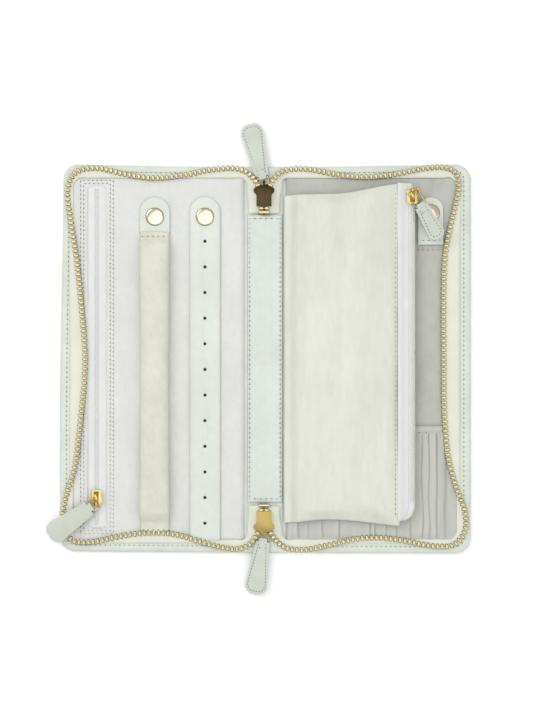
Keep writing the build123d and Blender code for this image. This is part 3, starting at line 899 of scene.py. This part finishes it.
def tapeRibbon(points, side, word):
    loops = []
    for point, inward in chainFrames(points, side):
        depth = insideSeam(point.x, point.y)
        nearSlider = 1 - smoothStep(abs(point.x), 7.0, 15.0)
        wide = 4.2 + 3.1 * (1 - smoothStep(abs(point.x), 2.4, 7.0))
        out = max(1.0, depth + 0.9) * (1 - nearSlider) + 0.7 * nearSlider
        into = max(1.0, 1.2 - depth) * (1 - nearSlider) + wide * nearSlider
        top = chainHeight(point.x, point.y) - 0.05
        ring = []
        for share in (-1.0, -0.6, -0.25, 0.0):
            reach = -share * out
            low = liningTop + 0.55 if depth > 1.0 else top - 0.35
            fall = smoothStep(reach, 1.0, max(2.2, out))
            ring.append((point - inward * reach, top * (1 - fall) + low * fall))
        for share in (0.3, 0.65, 1.0):
            reach = share * into
            fall = smoothStep(reach, 0.9, max(2.4, into))
            low = liningTop + 0.5
            ring.append((point + inward * reach, top * (1 - fall) + low * fall))
        loops.append([(p.x, p.y, z + 0.08 * rough(4.0, p.x, p.y, 0.25, 0.25)) for p, z in ring])
    flat = [p for ring in loops for p in ring]
    mesh = meshFrom(word + "Tape", flat, tube(loops, loops[0]))
    piece = newPiece(word + "ZipTapeCloth", mesh, mainTapeWeave)
    rounding = piece.modifiers.new("round", "SUBSURF")
    rounding.levels = 1
    rounding.render_levels = 1
    thicken(piece, chainSizes["tapeThickness"], 0.0)
    return piece


def toothShape():                        # a rounded nub with a dimple in its back
    points = []
    rings = ((0.0, 1.0, 1.0), (1.0, 1.0, 1.0), (1.45, 0.9, 0.9), (1.62, 0.66, 0.62), (1.5, 0.4, 0.34))
    for z, wide, deep in rings:
        for index in range(12):
            angle = math.tau * index / 12
            x = math.cos(angle) * 0.92 * deep
            y = math.sin(angle) * 1.62 * wide
            points.append((x, y, z))
    points.append((0.0, 0.0, 1.46))
    faces = []
    for ring in range(len(rings) - 1):
        for index in range(12):
            a = ring * 12 + index
            b = ring * 12 + (index + 1) % 12
            faces.append((a, b, b + 12, a + 12))
    last = (len(rings) - 1) * 12
    faces += [(last + k, last + (k + 1) % 12, len(points) - 1) for k in range(12)]
    faces.append(tuple(range(11, -1, -1)))
    return pattern("toothShape", points, faces)


# painted light and shade: points facing up get the bright top colour, points facing sideways the dark side
# colour
def paintTopLight(piece):
    topLight = piece.data.attributes.new("topLight", "FLOAT", "POINT")
    topLight.data.foreach_set("value", [smoothStep(v.normal.z, 0.1, 0.9) for v in piece.data.vertices])
    return piece


def chainTeeth(points, word, tooth):
    line = [(p.x, p.y, chainHeight(p.x, p.y)) for p in curveThrough(points, 0.5)]
    teeth = repeatAlong(word + "ZipTeethMetal", [line], tooth, chainSizes["pitch"], brassTooth, 0.08)
    return paintTopLight(teeth)


print("main zip")
zipTooth = toothShape()
for side, word, points in ((-1, "left", leftChain), (1, "right", rightChain)):
    tape = tapeRibbon(points, side, word)
    teeth = chainTeeth(points, word, zipTooth)
    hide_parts(word + "_zip_tape")
    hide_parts(word + "_zip_teeth")
    for piece in (tape, teeth):
        bendy(piece, word, side, spineEdge - 0.8, coverEdge + 2.0)
    if side < 0:
        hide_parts("spine_zip_tapes")
        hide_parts("spine_zip_teeth")
# the stops get the same painted light and shade as the teeth
paintTopLight(dressed("main_zip_stops", "spine", brassTooth, 0.2))


# ---- coil zips of the flat pocket and the pouch

coilSizes = {"pitch": 1.25, "width": 1.3, "height": 1.0}


def coilTurn():
    points, faces = blockPoints(coilSizes["pitch"] * 0.82, coilSizes["width"], coilSizes["height"], 0.62)
    return pattern("coilTurn", points, faces, 1)


coilTurnShape = coilTurn()


def coilChain(name, body, node, tapeTop, short=0.3):
    low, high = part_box(node)
    x = (low[0] + high[0]) / 2 / mm
    y0 = low[1] / mm
    y1 = high[1] / mm
    apart = coilSizes["width"] / 2 + 0.05
    rows = []
    for s in (-1, 1):
        start = y0 + short + (s + 1) * 0.3
        rows.append([(x + s * apart, start, tapeTop), (x + s * apart, y1 - 0.3, tapeTop)])
    piece = repeatAlong(name, rows, coilTurnShape, coilSizes["pitch"], whiteCoil)
    settle(piece, body, node)


def tapeBand(name, body, xs, zs, y0, y1, finish, nodes):
    ys = gridLines(y0, y1, 3.0)
    points = []
    for x, z in zip(xs, zs):
        for y in ys:
            points.append((x, y, z + 0.06 * noise.noise(Vector((x * 0.3, y * 0.12, 8.0)))))
    rows = len(ys)
    faces = []
    for i in range(len(xs) - 1):
        for j in range(rows - 1):
            a = i * rows + j
            faces.append((a, a + rows, a + rows + 1, a + 1))
    piece = newPiece(name, meshFrom(name, points, faces), finish)
    rounding = piece.modifiers.new("round", "SUBSURF")
    rounding.levels = 1
    rounding.render_levels = 1
    thicken(piece, 0.4)
    settle(piece, body, *nodes)
    return piece


print("coil zips")
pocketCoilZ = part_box("pocket_zip_coil")[0][2] / mm
coilX = (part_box("pocket_zip_coil")[0][0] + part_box("pocket_zip_coil")[1][0]) / 2 / mm
pocketTape = tapeBand(
    "pocketZipTape", "left_panel",
    (windowX0 - 0.9, windowX0 + 0.6, coilX - 2.6, coilX - 1.5, coilX - 0.2, coilX + 0.2, coilX + 1.5,
     coilX + 2.6, windowX1 - 0.6, windowX1 + 0.9),
    [liningTop + dz for dz in (-0.25, 0.1, 0.5, 0.68, 0.68, 0.68, 0.68, 0.5, 0.1, -0.25)],
    pocketZip[0][1] + 0.6, pocketZip[1][1] - 0.6, innerTapeWeave,
    ["pocket_zip_tapes", "pocket_zip_stops"])
coilChain("pocketZipCoil", "left_panel", "pocket_zip_coil", pocketCoilZ)
rect = []
for grow in (2.2, 3.9):
    x0, x1, y0, y1 = windowX0 - grow, windowX1 + grow, windowY0 - grow, windowY1 + grow
    z = liningTop + 0.12
    rect.append([(x0, y0, z), (x0, y1, z), (x1, y1, z), (x1, y0, z), (x0, y0, z)])
stitches("pocketStitches", "left_panel", rect, paleThread, 2.4)


# ---- ring roll

rollSizes = {
    "width": 18.0, "height": 7.2, "voxel": 1.1, "cap": 1.2,
    "flatEnd": 7.5, "endHeight": 2.0, "lap": 3.8,      # where its ends are stitched down flat
}


def inflate(piece, voxel, pressure, cap):     # a cloth balloon, so that it creases where it is held
    frames = 20
    if voxel:
        remesh = piece.modifiers.new("remesh", "REMESH")
        remesh.mode = "VOXEL"
        remesh.voxel_size = voxel * mm
        finishPiece(piece)
    before = [v.co.copy() for v in piece.data.vertices]
    cloth = piece.modifiers.new("cloth", "CLOTH")
    cloth.settings.use_pressure = True
    cloth.settings.uniform_pressure_force = pressure
    cloth.settings.effector_weights.gravity = 0
    cloth.settings.mass = 0.2
    cloth.settings.quality = 5
    scene = bpy.context.scene
    for number in range(1, frames + 1):
        scene.frame_set(number)
    shape = piece.evaluated_get(bpy.context.evaluated_depsgraph_get())
    after = [v.co.copy() for v in shape.data.vertices]
    piece.modifiers.clear()
    scene.frame_set(1)
    for vertex, start, end in zip(piece.data.vertices, before, after):
        move = end - start
        if move.length > cap * mm:
            move = move * (cap * mm / move.length)
        vertex.co = start + move
    return piece


def rollPiece():
    low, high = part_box("ring_roll_pad")
    x = (low[0] + high[0]) / 2 / mm
    s = rollSizes
    y0, y1 = low[1] / mm - s["lap"], high[1] / mm + 0.6
    z0 = low[2] / mm
    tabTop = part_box("ring_roll_tab")[1][2] / mm
    rings = []
    steps = 60
    for index in range(steps + 1):
        y = y0 + (y1 - y0) * index / steps
        atLap = smoothStep(y, y0 + s["lap"], y0 + s["lap"] + s["flatEnd"])
        full = min(atLap, smoothStep(-y, -y1 + 2.2, -y1 + s["flatEnd"]))
        height = s["endHeight"] + (s["height"] - s["endHeight"]) * full
        height += (tabTop - z0) * smoothStep(y, y1 - 5, y1 - 1)
        wide = s["width"] / 2 - 0.5
        ring = []
        for k in range(20):
            angle = math.tau * k / 20
            cx = math.copysign(abs(math.cos(angle)) ** 0.72, math.cos(angle)) * wide
            cz = math.sin(angle)
            lift = height * (0.5 + 0.5 * math.copysign(abs(cz) ** 0.8, cz))
            ring.append((x + cx, y, z0 + 0.1 + lift))
        rings.append(ring)
    points = [p for ring in rings for p in ring]
    faces = []
    for i in range(steps):
        for k in range(20):
            a = i * 20 + k
            b = i * 20 + (k + 1) % 20
            faces.append((a, b, b + 20, a + 20))
    faces.append(tuple(range(20)))
    faces.append(tuple(steps * 20 + k for k in range(19, -1, -1)))
    piece = newPiece("ringRollSuede", outward(meshFrom("ringRoll", points, faces)), rollSuede)
    inflate(piece, s["voxel"], 3.0, s["cap"])
    for vertex in piece.data.vertices:
        co = vertex.co / mm
        crease = rough(0.5, co.x, co.y, 0.1, 0.16) * 0.35 + rough(2.5, co.x, co.y, 0.3, 0.5) * 0.12
        held = smoothStep(co.z, z0 + 0.5, z0 + 3.0)
        vertex.co.z += crease * held * mm
        vertex.co.z = max(vertex.co.z, (z0 + 0.02) * mm)
        vertex.co.x = min(max(vertex.co.x, (x - s["width"] / 2 - 0.4) * mm), (x + s["width"] / 2 + 0.4) * mm)
    rounding = piece.modifiers.new("round", "SUBSURF")
    rounding.levels = 1
    rounding.render_levels = 1
    finishPiece(piece)
    for face in piece.data.polygons:
        face.use_smooth = True
    settle(piece, "", "ring_roll_pad")
    hinge = y0 + s["lap"]
    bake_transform(piece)
    for name, body, y in (("rollTopStitches", "ring_roll", y1 - 3.0),
                          ("rollLowStitches", "left_panel", hinge - 2.6)):
        row = rowOn(piece, [(along, y) for along in gridLines(x - 7.6, x + 7.6, 0.8)], 0.1)
        stitches(name, body, [row], paleThread)


print("ring roll")
rollPiece()


# ---- leather tabs and straps

tabSizes = {"edge": 0.35}
dressed("ring_roll_tab", "ring_roll", strapLeather, tabSizes["edge"], 3, edgePaint)
strap = dressed("earring_strap_leather", "", strapLeather, tabSizes["edge"], 2, edgePaint)
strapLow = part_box("earring_strap_leather")[0]
for vertex in strap.data.vertices:
    if vertex.co.y < strapLow.y + 1.0 * mm:
        vertex.co.y -= 5.4 * mm            # runs on under the main zip
cuts = bmesh.new()
cuts.from_mesh(strap.data)
for index in range(9):                   # cuts across it where it is sewn down
    place = (0, strapLow.y + (index - 3) * mm, 0)
    whole = cuts.verts[:] + cuts.edges[:] + cuts.faces[:]
    bmesh.ops.bisect_plane(cuts, geom=whole, plane_co=place, plane_no=(0, 1, 0))
cuts.to_mesh(strap.data)
cuts.free()
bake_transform(strap)


def strapHoles():                        # painted shade: a dark disc down each punched hole
    low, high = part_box("earring_strap_leather")
    x = (low.x + high.x) / 2 / mm
    points = []
    faces = []
    for index in range(strapRow["count"]):
        y = strapRow["first"] - strapRow["pitch"] * index
        base = len(points)
        for k in range(16):
            angle = math.tau * k / 16
            across = strapRow["radius"] * math.cos(angle)
            points.append((x + across, y + strapRow["radius"] * math.sin(angle), low.z / mm + 0.25))
        points.append((x, y, low.z / mm + 0.32))
        faces += [(base + k, base + (k + 1) % 16, base + 16) for k in range(16)]
    piece = newPiece("strapHoleCores", meshFrom("strapHoles", points, faces), holeShade)
    settle(piece, "earring_strap")


strapRow = {"count": 12, "first": 64.6, "pitch": 14.1, "radius": 0.96}
strapHoles()
for index in range(1, 5):
    body = f"necklace_tab_{index}"
    dressed(body + "_leather", body, strapLeather, tabSizes["edge"], 3, edgePaint)
    low, high = corners(body + "_leather")
    row = [(x, low[1] + 2.4, high[2] + 0.04) for x in (low[0] + 1.8, high[0] - 1.8)]
    stitches(f"necklaceTab{index}Stitches", body, [row], paleThread)


capSizes = {
    # radius and height of the cap's turned outline
    "profile": ((4.9, 0.0), (5.05, 0.3), (5.0, 0.62), (4.75, 0.9), (4.4, 1.06), (4.1, 1.12), (3.7, 1.16),
                (3.2, 1.22), (2.4, 1.3), (1.5, 1.37), (0.7, 1.4), (0.0, 1.41)),
    "around": 48,
}


def snapCap(node, body):
    low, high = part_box(node)
    x = (low[0] + high[0]) / 2 / mm
    y = (low[1] + high[1]) / 2 / mm
    z = low[2] / mm
    around = capSizes["around"]
    points = []
    rings = capSizes["profile"][:-1]
    for radius, height in rings:
        for k in range(around):
            angle = math.tau * k / around
            points.append((x + radius * math.cos(angle), y + radius * math.sin(angle), z + height))
    points.append((x, y, z + capSizes["profile"][-1][1]))
    faces = ringFaces(len(rings), around) + fanFaces((len(rings) - 1) * around, around, len(points) - 1)
    faces.append(tuple(range(around - 1, -1, -1)))
    piece = newPiece(pieceName(node), outward(meshFrom(node, points, faces)), snapGilt)
    settle(piece, body, node)


print("snaps and tabs")
snapCap("ring_roll_snap_cap", "ring_roll")
snapCap("earring_strap_snap_cap", "earring_strap")
for index in range(1, 5):
    snapCap(f"necklace_tab_{index}_snap_cap", f"necklace_tab_{index}")
for node in ("left_snap_studs", "right_snap_studs"):
    dressed(node, node.split("_")[0] + "_panel", snapGilt, 0.3)


# ---- elastic pocket

elasticSizes = {
    "thickness": 0.4, "rise": 1.2,
    # tucks that run down from the hem: place, depth, half width
    "tucks": ((17.5, 0.9, 1.3), (23.0, 0.5, 1.0), (31.5, 0.8, 1.2), (40.5, 0.9, 1.4), (57.0, 1.0, 1.1),
              (60.5, 0.8, 0.9), (66.0, 0.7, 1.0), (72.0, 0.8, 1.0), (79.5, 1.0, 1.4), (86.0, 0.9, 1.2),
              (89.8, 0.8, 1.0), (94.0, 0.9, 1.3), (99.0, 0.6, 1.2)),
}


def elasticPocket():
    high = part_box("elastic_pocket_cloth")[1]
    x0 = coverEdge + 1.2
    x1 = halfWidth - seamInset + 0.4
    y0 = -halfHeight + seamInset - 0.4
    y1 = high[1] / mm
    xs = gridLines(x0, x1, 0.42)
    ys = gridLines(y0, y1, 1.6, (y1 - 0.5, y1 - 1.2, y1 - 3.0, y1 - 3.7, y1 - 4.4))

    def heightAt(x, y):
        down = y1 - y
        edge = min(smoothStep(x, x0, x0 + 2), smoothStep(x1 - x, 5.9, 10.9), smoothStep(y - y0, 0.8, 4.4))
        loose = 0.72 + 0.28 * math.exp(-((down - 9) / 14) ** 2)
        fold = 0.0
        for place, depth, half in elasticSizes["tucks"]:
            lean = place + 0.5 * noise.noise(Vector((place, y * 0.04, 1.0))) * down * 0.06
            across = (x - lean) / half
            fold += depth * 1.25 * math.exp(-(across * (2.1 if across > 0 else 1.0)) ** 2)
        fine = 0.32 * math.sin(x * 2.9) * math.exp(-((down - 4.6) / 3.2) ** 2)
        soft = 0.3 * noise.noise(Vector((x * 0.2, y * 0.05, 3.0)))
        hem = 0.5 * math.exp(-((down - 1.6) / 1.1) ** 2) - 0.45 * math.exp(-((down - 3.7) / 0.45) ** 2)
        body = elasticSizes["rise"] + (fold * loose + soft + fine) * smoothStep(down, 2.8, 5.0) + hem
        return liningTop + 0.3 + body * edge

    points, faces = slabGrid(xs, ys, heightAt)
    piece = newPiece("elasticPocketCloth", meshFrom("elasticPocket", points, faces), pocketNap)
    # painted light and shade: each point is darker or lighter by the slope of its tuck, as if lit from the
    # left
    shade = piece.data.attributes.new("tuck", "FLOAT", "POINT")
    slopes = [(heightAt(x + 0.3, y) - heightAt(x - 0.3, y)) / 0.6 for x, y, z in points]
    shades = [0.62 + 0.5 * min(slope, 0.0) + 0.3 * max(slope, 0.0) for slope in slopes]
    shade.data.foreach_set("value", [min(1.0, max(0.0, value)) for value in shades])
    middle = (y0 + y1) / 2
    run = sum(math.hypot(b - a, heightAt(b, middle) - heightAt(a, middle)) for a, b in zip(xs, xs[1:]))
    thicken(piece, elasticSizes["thickness"])
    settle(piece, "right_panel", "elastic_pocket_cloth", "elastic_pocket_cord")
    (y1 - y0) * mm
    row = [(x, y1 - 3.7, heightAt(x, y1 - 3.7) + 0.1) for x in xs if x0 + 2 < x < x1 - 9]
    stitches("elasticStitches", "right_panel", [row], paleThread, 1.9)


print("elastic pocket")
elasticPocket()


# ---- pouch page

pouchSizes = {
    "left": 10.5, "right": 73.9,
    "edge": 1.5,          # thickness where its edges are sewn
    "cap": 1.8,
    "seam": 2.6,          # from its right edge to the row of stitches
}


def pouchOutline(share):                 # low and high Y of the page at a share of its width
    low = -90.6 + 2.6 * math.sin(share * 3.6) * (1 - 0.5 * share) - 0.6 * share
    high = 89.8 + 3.0 * share + 3.2 * smoothStep(share, 0.45, 1.0)
    return low, high


def pouchPiece():
    backLow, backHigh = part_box("pouch_back_leaf")
    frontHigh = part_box("pouch_front_leaf")[1][2] / mm
    bottom = backHigh[2] / mm - 0.7
    flange = backLow[2] / mm
    s = pouchSizes
    across = 44
    along = 110
    top = []
    under = []
    for i in range(across + 1):
        share = i / across
        x = s["left"] + (s["right"] - s["left"]) * share
        low, high = pouchOutline(share)
        rise = smoothStep(x, 14.0, 24.0)
        under0 = flange + (bottom - flange) * smoothStep(x, 13.6, 18.4)
        for j in range(along + 1):
            t = j / along
            y = low + (high - low) * t
            fromEnd = min(y - low, high - y)
            puff = smoothStep(fromEnd, -0.6, 7.0) * rise
            right = 1 - 0.3 * smoothStep(x, 66.0, 74.2)
            depth = s["edge"] + (frontHigh - bottom - s["edge"] - 0.9) * puff * right
            wrinkle = 0.5 * rough(7.0, x, y, 0.05, 0.03) + 0.2 * rough(1.0, x, y, 0.2, 0.09)
            corner = smoothStep(-y, 60, 92)
            wrinkle += corner * 1.25 * noise.noise(Vector(((x + y) * 0.1, (x - y) * 0.03, 4.0)))
            top.append((x, y, under0 + depth + wrinkle * puff))
            under.append((x, y, under0))
    rows = along + 1
    points = top + under
    base = len(top)
    faces = []
    for i in range(across):
        for j in range(along):
            a = i * rows + j
            faces.append((a, a + rows, a + rows + 1, a + 1))
            faces.append((base + a + 1, base + a + rows + 1, base + a + rows, base + a))
    for j in range(along):
        faces.append((j, j + 1, base + j + 1, base + j))
        a = across * rows + j
        faces.append((a + 1, a, base + a, base + a + 1))
    for i in range(across):
        a = i * rows
        faces.append((a + rows, a, base + a, base + a + rows))
        b = i * rows + along
        faces.append((b, b + rows, base + b + rows, base + b))
    piece = newPiece("pouchSuedeBag", outward(meshFrom("pouch", points, faces)), pouchSuede)
    inflate(piece, None, 2.5, s["cap"])
    seamX = s["right"] - s["seam"]
    for vertex in piece.data.vertices:
        co = vertex.co / mm
        vertex.co.z = min(max(vertex.co.z, (flange + 0.02) * mm), (frontHigh + 1.2) * mm)
        if co.z > bottom + 2.0:
            vertex.co.z -= 0.4 * math.exp(-((co.x - seamX) / 0.8) ** 2) * mm
        if co.x > 18.2:
            vertex.co.z = max(vertex.co.z, bottom * mm)
        vertex.co.x = max(vertex.co.x, (s["left"] - 0.1) * mm)
    rounding = piece.modifiers.new("round", "SUBSURF")
    rounding.levels = 1
    rounding.render_levels = 1
    finishPiece(piece)
    for face in piece.data.polygons:
        face.use_smooth = True
    settle(piece, "pouch", "pouch_back_leaf", "pouch_front_leaf")
    row = rowOn(piece, [(seamX, -86 + 176 * index / 149) for index in range(150)], 0.02)
    stitches("pouchStitches", "pouch", [row], paleThread)


print("pouch")
pouchPiece()
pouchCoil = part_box("pouch_zip_coil")
pouchCoilX = (pouchCoil[0][0] + pouchCoil[1][0]) / 2 / mm
pouchCoilZ = pouchCoil[0][2] / mm
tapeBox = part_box("pouch_zip_tapes")


def pouchTapePiece():                    # one tape slopes up to the coil, the other turns under
    c = pouchCoilX
    t = pouchCoilZ
    xs = (72.6, 73.6, 75.0, 76.8, c - 2.5, c - 1.9, c - 1.6, c - 1.3, c - 0.7, c + 0.7, c + 1.0,
          c + 1.25, c + 1.5, 82.0, 82.1, 81.8, 79.0, 72.0)
    zs = (12.0, 12.1, 11.4, 10.3, t + 0.3, t + 0.1, t - 0.7, t, t - 0.05, t - 0.05, t - 0.7,
          t - 0.8, t - 0.1, 9.2, 8.8, 8.3, 7.9, 7.9)
    low = -89.0
    high = tapeBox[1][1] / mm
    ends = [e + s * k for e, s in ((low, 1), (high, -1)) for k in (0.3, 0.8, 1.4)]
    ys = gridLines(low, high, 2.0, ends)
    points = []
    for x, z in zip(xs, zs):
        for y in ys:
            near = min(1.0, max(0.0, (low + 8.5 - y) / 8.5))
            pull = smoothStep(x, 73.0, 82.0) * (1 - math.sqrt(1 - near * near))   # rounds the corner
            nearTop = min(1.0, max(0.0, (y - high + 4.5) / 4.5))
            pull += 0.55 * smoothStep(x, 73.0, 82.0) * (1 - math.sqrt(1 - nearTop * nearTop))
            tuck = smoothStep(high - y, 0.0, 5.0)
            ripple = 0.06 * noise.noise(Vector((x * 0.3, y * 0.12, 8.0)))
            points.append((x - 8.0 * pull, y, z - 1.2 * pull + ripple - 0.8 * (1 - tuck)))
    rows = len(ys)
    faces = []
    for i in range(len(xs) - 1):
        for j in range(rows - 1):
            a = i * rows + j
            faces.append((a, a + rows, a + rows + 1, a + 1))
    piece = newPiece("pouchZipTape", meshFrom("pouchZipTape", points, faces), innerTapeWeave)
    piece.data.materials.append(mainTapeWeave)
    for face in piece.data.polygons:     # the back tape is creamier
        if face.center.x > (c + 1.0) * mm or face.center.z < 9.3 * mm:
            face.material_index = 1
    rounding = piece.modifiers.new("round", "SUBSURF")
    rounding.levels = 1
    rounding.render_levels = 1
    thicken(piece, 0.4)
    return settle(piece, "pouch", "pouch_zip_tapes", "pouch_zip_stops")


pouchTape = pouchTapePiece()
coilChain("pouchZipCoil", "pouch", "pouch_zip_coil", pouchCoilZ, 7.0)


# ---- sliders, links and pulls

def pullBorder(name, body, place, angle, link, length, root, tip):     # stitched edge of a leather pull
    along = Vector((math.cos(angle), math.sin(angle), 0))
    across = Vector((-along.y, along.x, 0))
    inset = pullSizes["border"]
    start = link + 0.9 + inset * 0.8
    end = link + 0.9 + length - inset
    halfRoot = root / 2 - inset
    halfTip = tip / 2 - inset
    turn = tip * 0.36 - inset * 0.5
    outline = [(start, -halfRoot)]
    for k in range(7):
        a = math.pi / 2 * k / 6
        outline.append((end - turn + turn * math.sin(a), -halfTip + turn - turn * math.cos(a)))
    outline += [(u, -v) for u, v in reversed(outline)]
    top = Vector((0, 0, pullSizes["top"]))
    lines = [[tuple(Vector(place) + along * u + across * v + top) for u, v in outline]]
    u = start + 2.2
    lines.append([tuple(Vector(place) + along * u + across * v + top) for v in (-halfRoot, halfRoot)])
    stitches(name, body, lines, seamThread, 1.7)


pullSizes = {
    "border": 1.7,
    # pivot, direction in degrees, link, leather, width at the root and at the tip
    "top": 0.68,
    "pulls": (
        ("top", (-0.5, 95.9, 4.55), 102.9, 3.8, 29.3, 7.6, 13.2),
        ("bottom", (-0.5, -95.9, 4.55), 261.5, 3.8, 29.3, 7.6, 13.2),
        ("pouch", (80.6, 91.75, 12.45), 299.0, 9.0, 20.0, 7.4, 9.6),
    ),
}


def bridge(word):          # the arch on a coil zip's slider that its link hangs from
    low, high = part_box(word + "_slider_body")
    x = (low.x + high.x) / 2 / mm
    top = high.z / mm
    y0 = low.y / mm + 0.8
    y1 = high.y / mm - 0.8
    rings = []
    for index in range(17):
        t = index / 16
        rise = math.sin(t * math.pi) ** 0.55
        z = top - 2.1 + 2.3 * rise
        y = y0 + (y1 - y0) * t
        half = 1.15 + 0.35 * (1 - rise)
        rings.append([(x - half, y, z - 0.35), (x - half, y, z + 0.1), (x - half * 0.55, y, z + 0.34),
                      (x, y, z + 0.4), (x + half * 0.55, y, z + 0.34), (x + half, y, z + 0.1),
                      (x + half, y, z - 0.35), (x, y, z - 0.35)])
    points = [p for ring in rings for p in ring]
    faces = ringFaces(17, 8) + [tuple(range(8)), tuple(range(16 * 8 + 7, 16 * 8 - 1, -1))]
    piece = newPiece(word + "SliderBridge", outward(meshFrom(word + "Bridge", points, faces)), brightGilt)
    settle(piece, word + "_slider")


print("sliders and pulls")
# the top slider's darkness is a painted reflection
sliderLooks = {"top": darkReflectionGilt, "bottom": sliderGilt, "pocket": brightGilt, "pouch": brightGilt}
for word, metal in sliderLooks.items():
    dressed(f"{word}_slider_body", f"{word}_slider", metal, 0.24, 3)
    dressed(f"{word}_pull_link", f"{word}_pull", brightGilt, 0.3, 3)
    dressed(f"{word}_pull_leather", f"{word}_pull", pullLeather, 0.4, 4, edgePaint)
bridge("pocket")
bridge("pouch")
for word, place, angle, link, length, root, tip in pullSizes["pulls"]:
    pullBorder(word + "PullStitches", word + "_pull", place, math.radians(angle), link, length, root, tip)


# ---- what stays hidden between board and lining

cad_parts["pocket_bag"].data.materials.clear()
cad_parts["pocket_bag"].data.materials.append(liningNap)

for shape in (stitchBead, stitchHole, zipTooth, coilTurnShape):
    bpy.data.objects.remove(shape)


# ---- floor, light and camera

lightSizes = {"horizon": 0.4, "zenith": 0.85}
viewSizes = {"lens": 85.0, "height": 0.94, "shiftX": 2.8, "shiftY": -0.7}


def floorFinish():
    f = Finish("paleFloor")
    grain = f.cloud(40.0, 2.0)
    colour = f.ramp(grain, (0.3, seen(250, 250, 250, 1.0)), (0.7, seen(254, 254, 254, 1.0)))
    return f.done({"Base Color": colour, "Roughness": 0.9})


def studio():
    corner = ((-1, -1), (1, -1), (1, 1), (-1, 1))
    mesh = meshFrom("floor", [(x * 4000, y * 4000, -0.1) for x, y in corner], [(0, 1, 2, 3)])
    floor = newPiece("paleFloor", mesh, floorFinish(), False)
    world = bpy.data.worlds.new("studio")
    world.use_nodes = True
    tree = world.node_tree
    sky = tree.nodes["Background"]
    sky.inputs["Color"].default_value = (1.0, 1.0, 1.0, 1.0)
    place = tree.nodes.new("ShaderNodeTexCoord")
    parts = tree.nodes.new("ShaderNodeSeparateXYZ")
    rise = tree.nodes.new("ShaderNodeMapRange")          # brighter overhead than at the horizon
    rise.inputs["To Min"].default_value = lightSizes["horizon"]
    rise.inputs["To Max"].default_value = lightSizes["zenith"]
    tree.links.new(place.outputs["Generated"], parts.inputs[0])
    tree.links.new(parts.outputs["Z"], rise.inputs["Value"])
    tree.links.new(rise.outputs["Result"], sky.inputs["Strength"])
    bpy.context.scene.world = world
    lights = (
        ("softboxLight", (0.0, 0.02, 1.15), 0.84, 3.05),
        ("keyLight", (-0.75, 0.65, 1.1), 0.9, 6.0),
        ("fillLight", (0.9, -0.5, 1.2), 1.3, 3.2),
    )
    for name, place, size, power in lights:
        lamp = bpy.data.lights.new(name, "AREA")
        lamp.shape = "DISK"
        lamp.size = size
        lamp.energy = power
        item = bpy.data.objects.new(name, lamp)
        item.location = place
        item.rotation_euler = (-Vector(place)).to_track_quat("-Z", "Y").to_euler()
        bpy.context.scene.collection.objects.link(item)
    lens = bpy.data.cameras.new("camera")
    lens.lens = viewSizes["lens"]
    lens.sensor_width = 36.0
    lens.clip_end = 20.0
    camera = bpy.data.objects.new("camera", lens)
    camera.location = (viewSizes["shiftX"] * mm, viewSizes["shiftY"] * mm, viewSizes["height"])
    bpy.context.scene.collection.objects.link(camera)
    bpy.context.scene.camera = camera
    bpy.context.scene.view_settings.view_transform = "Standard"


studio()
print("all made")
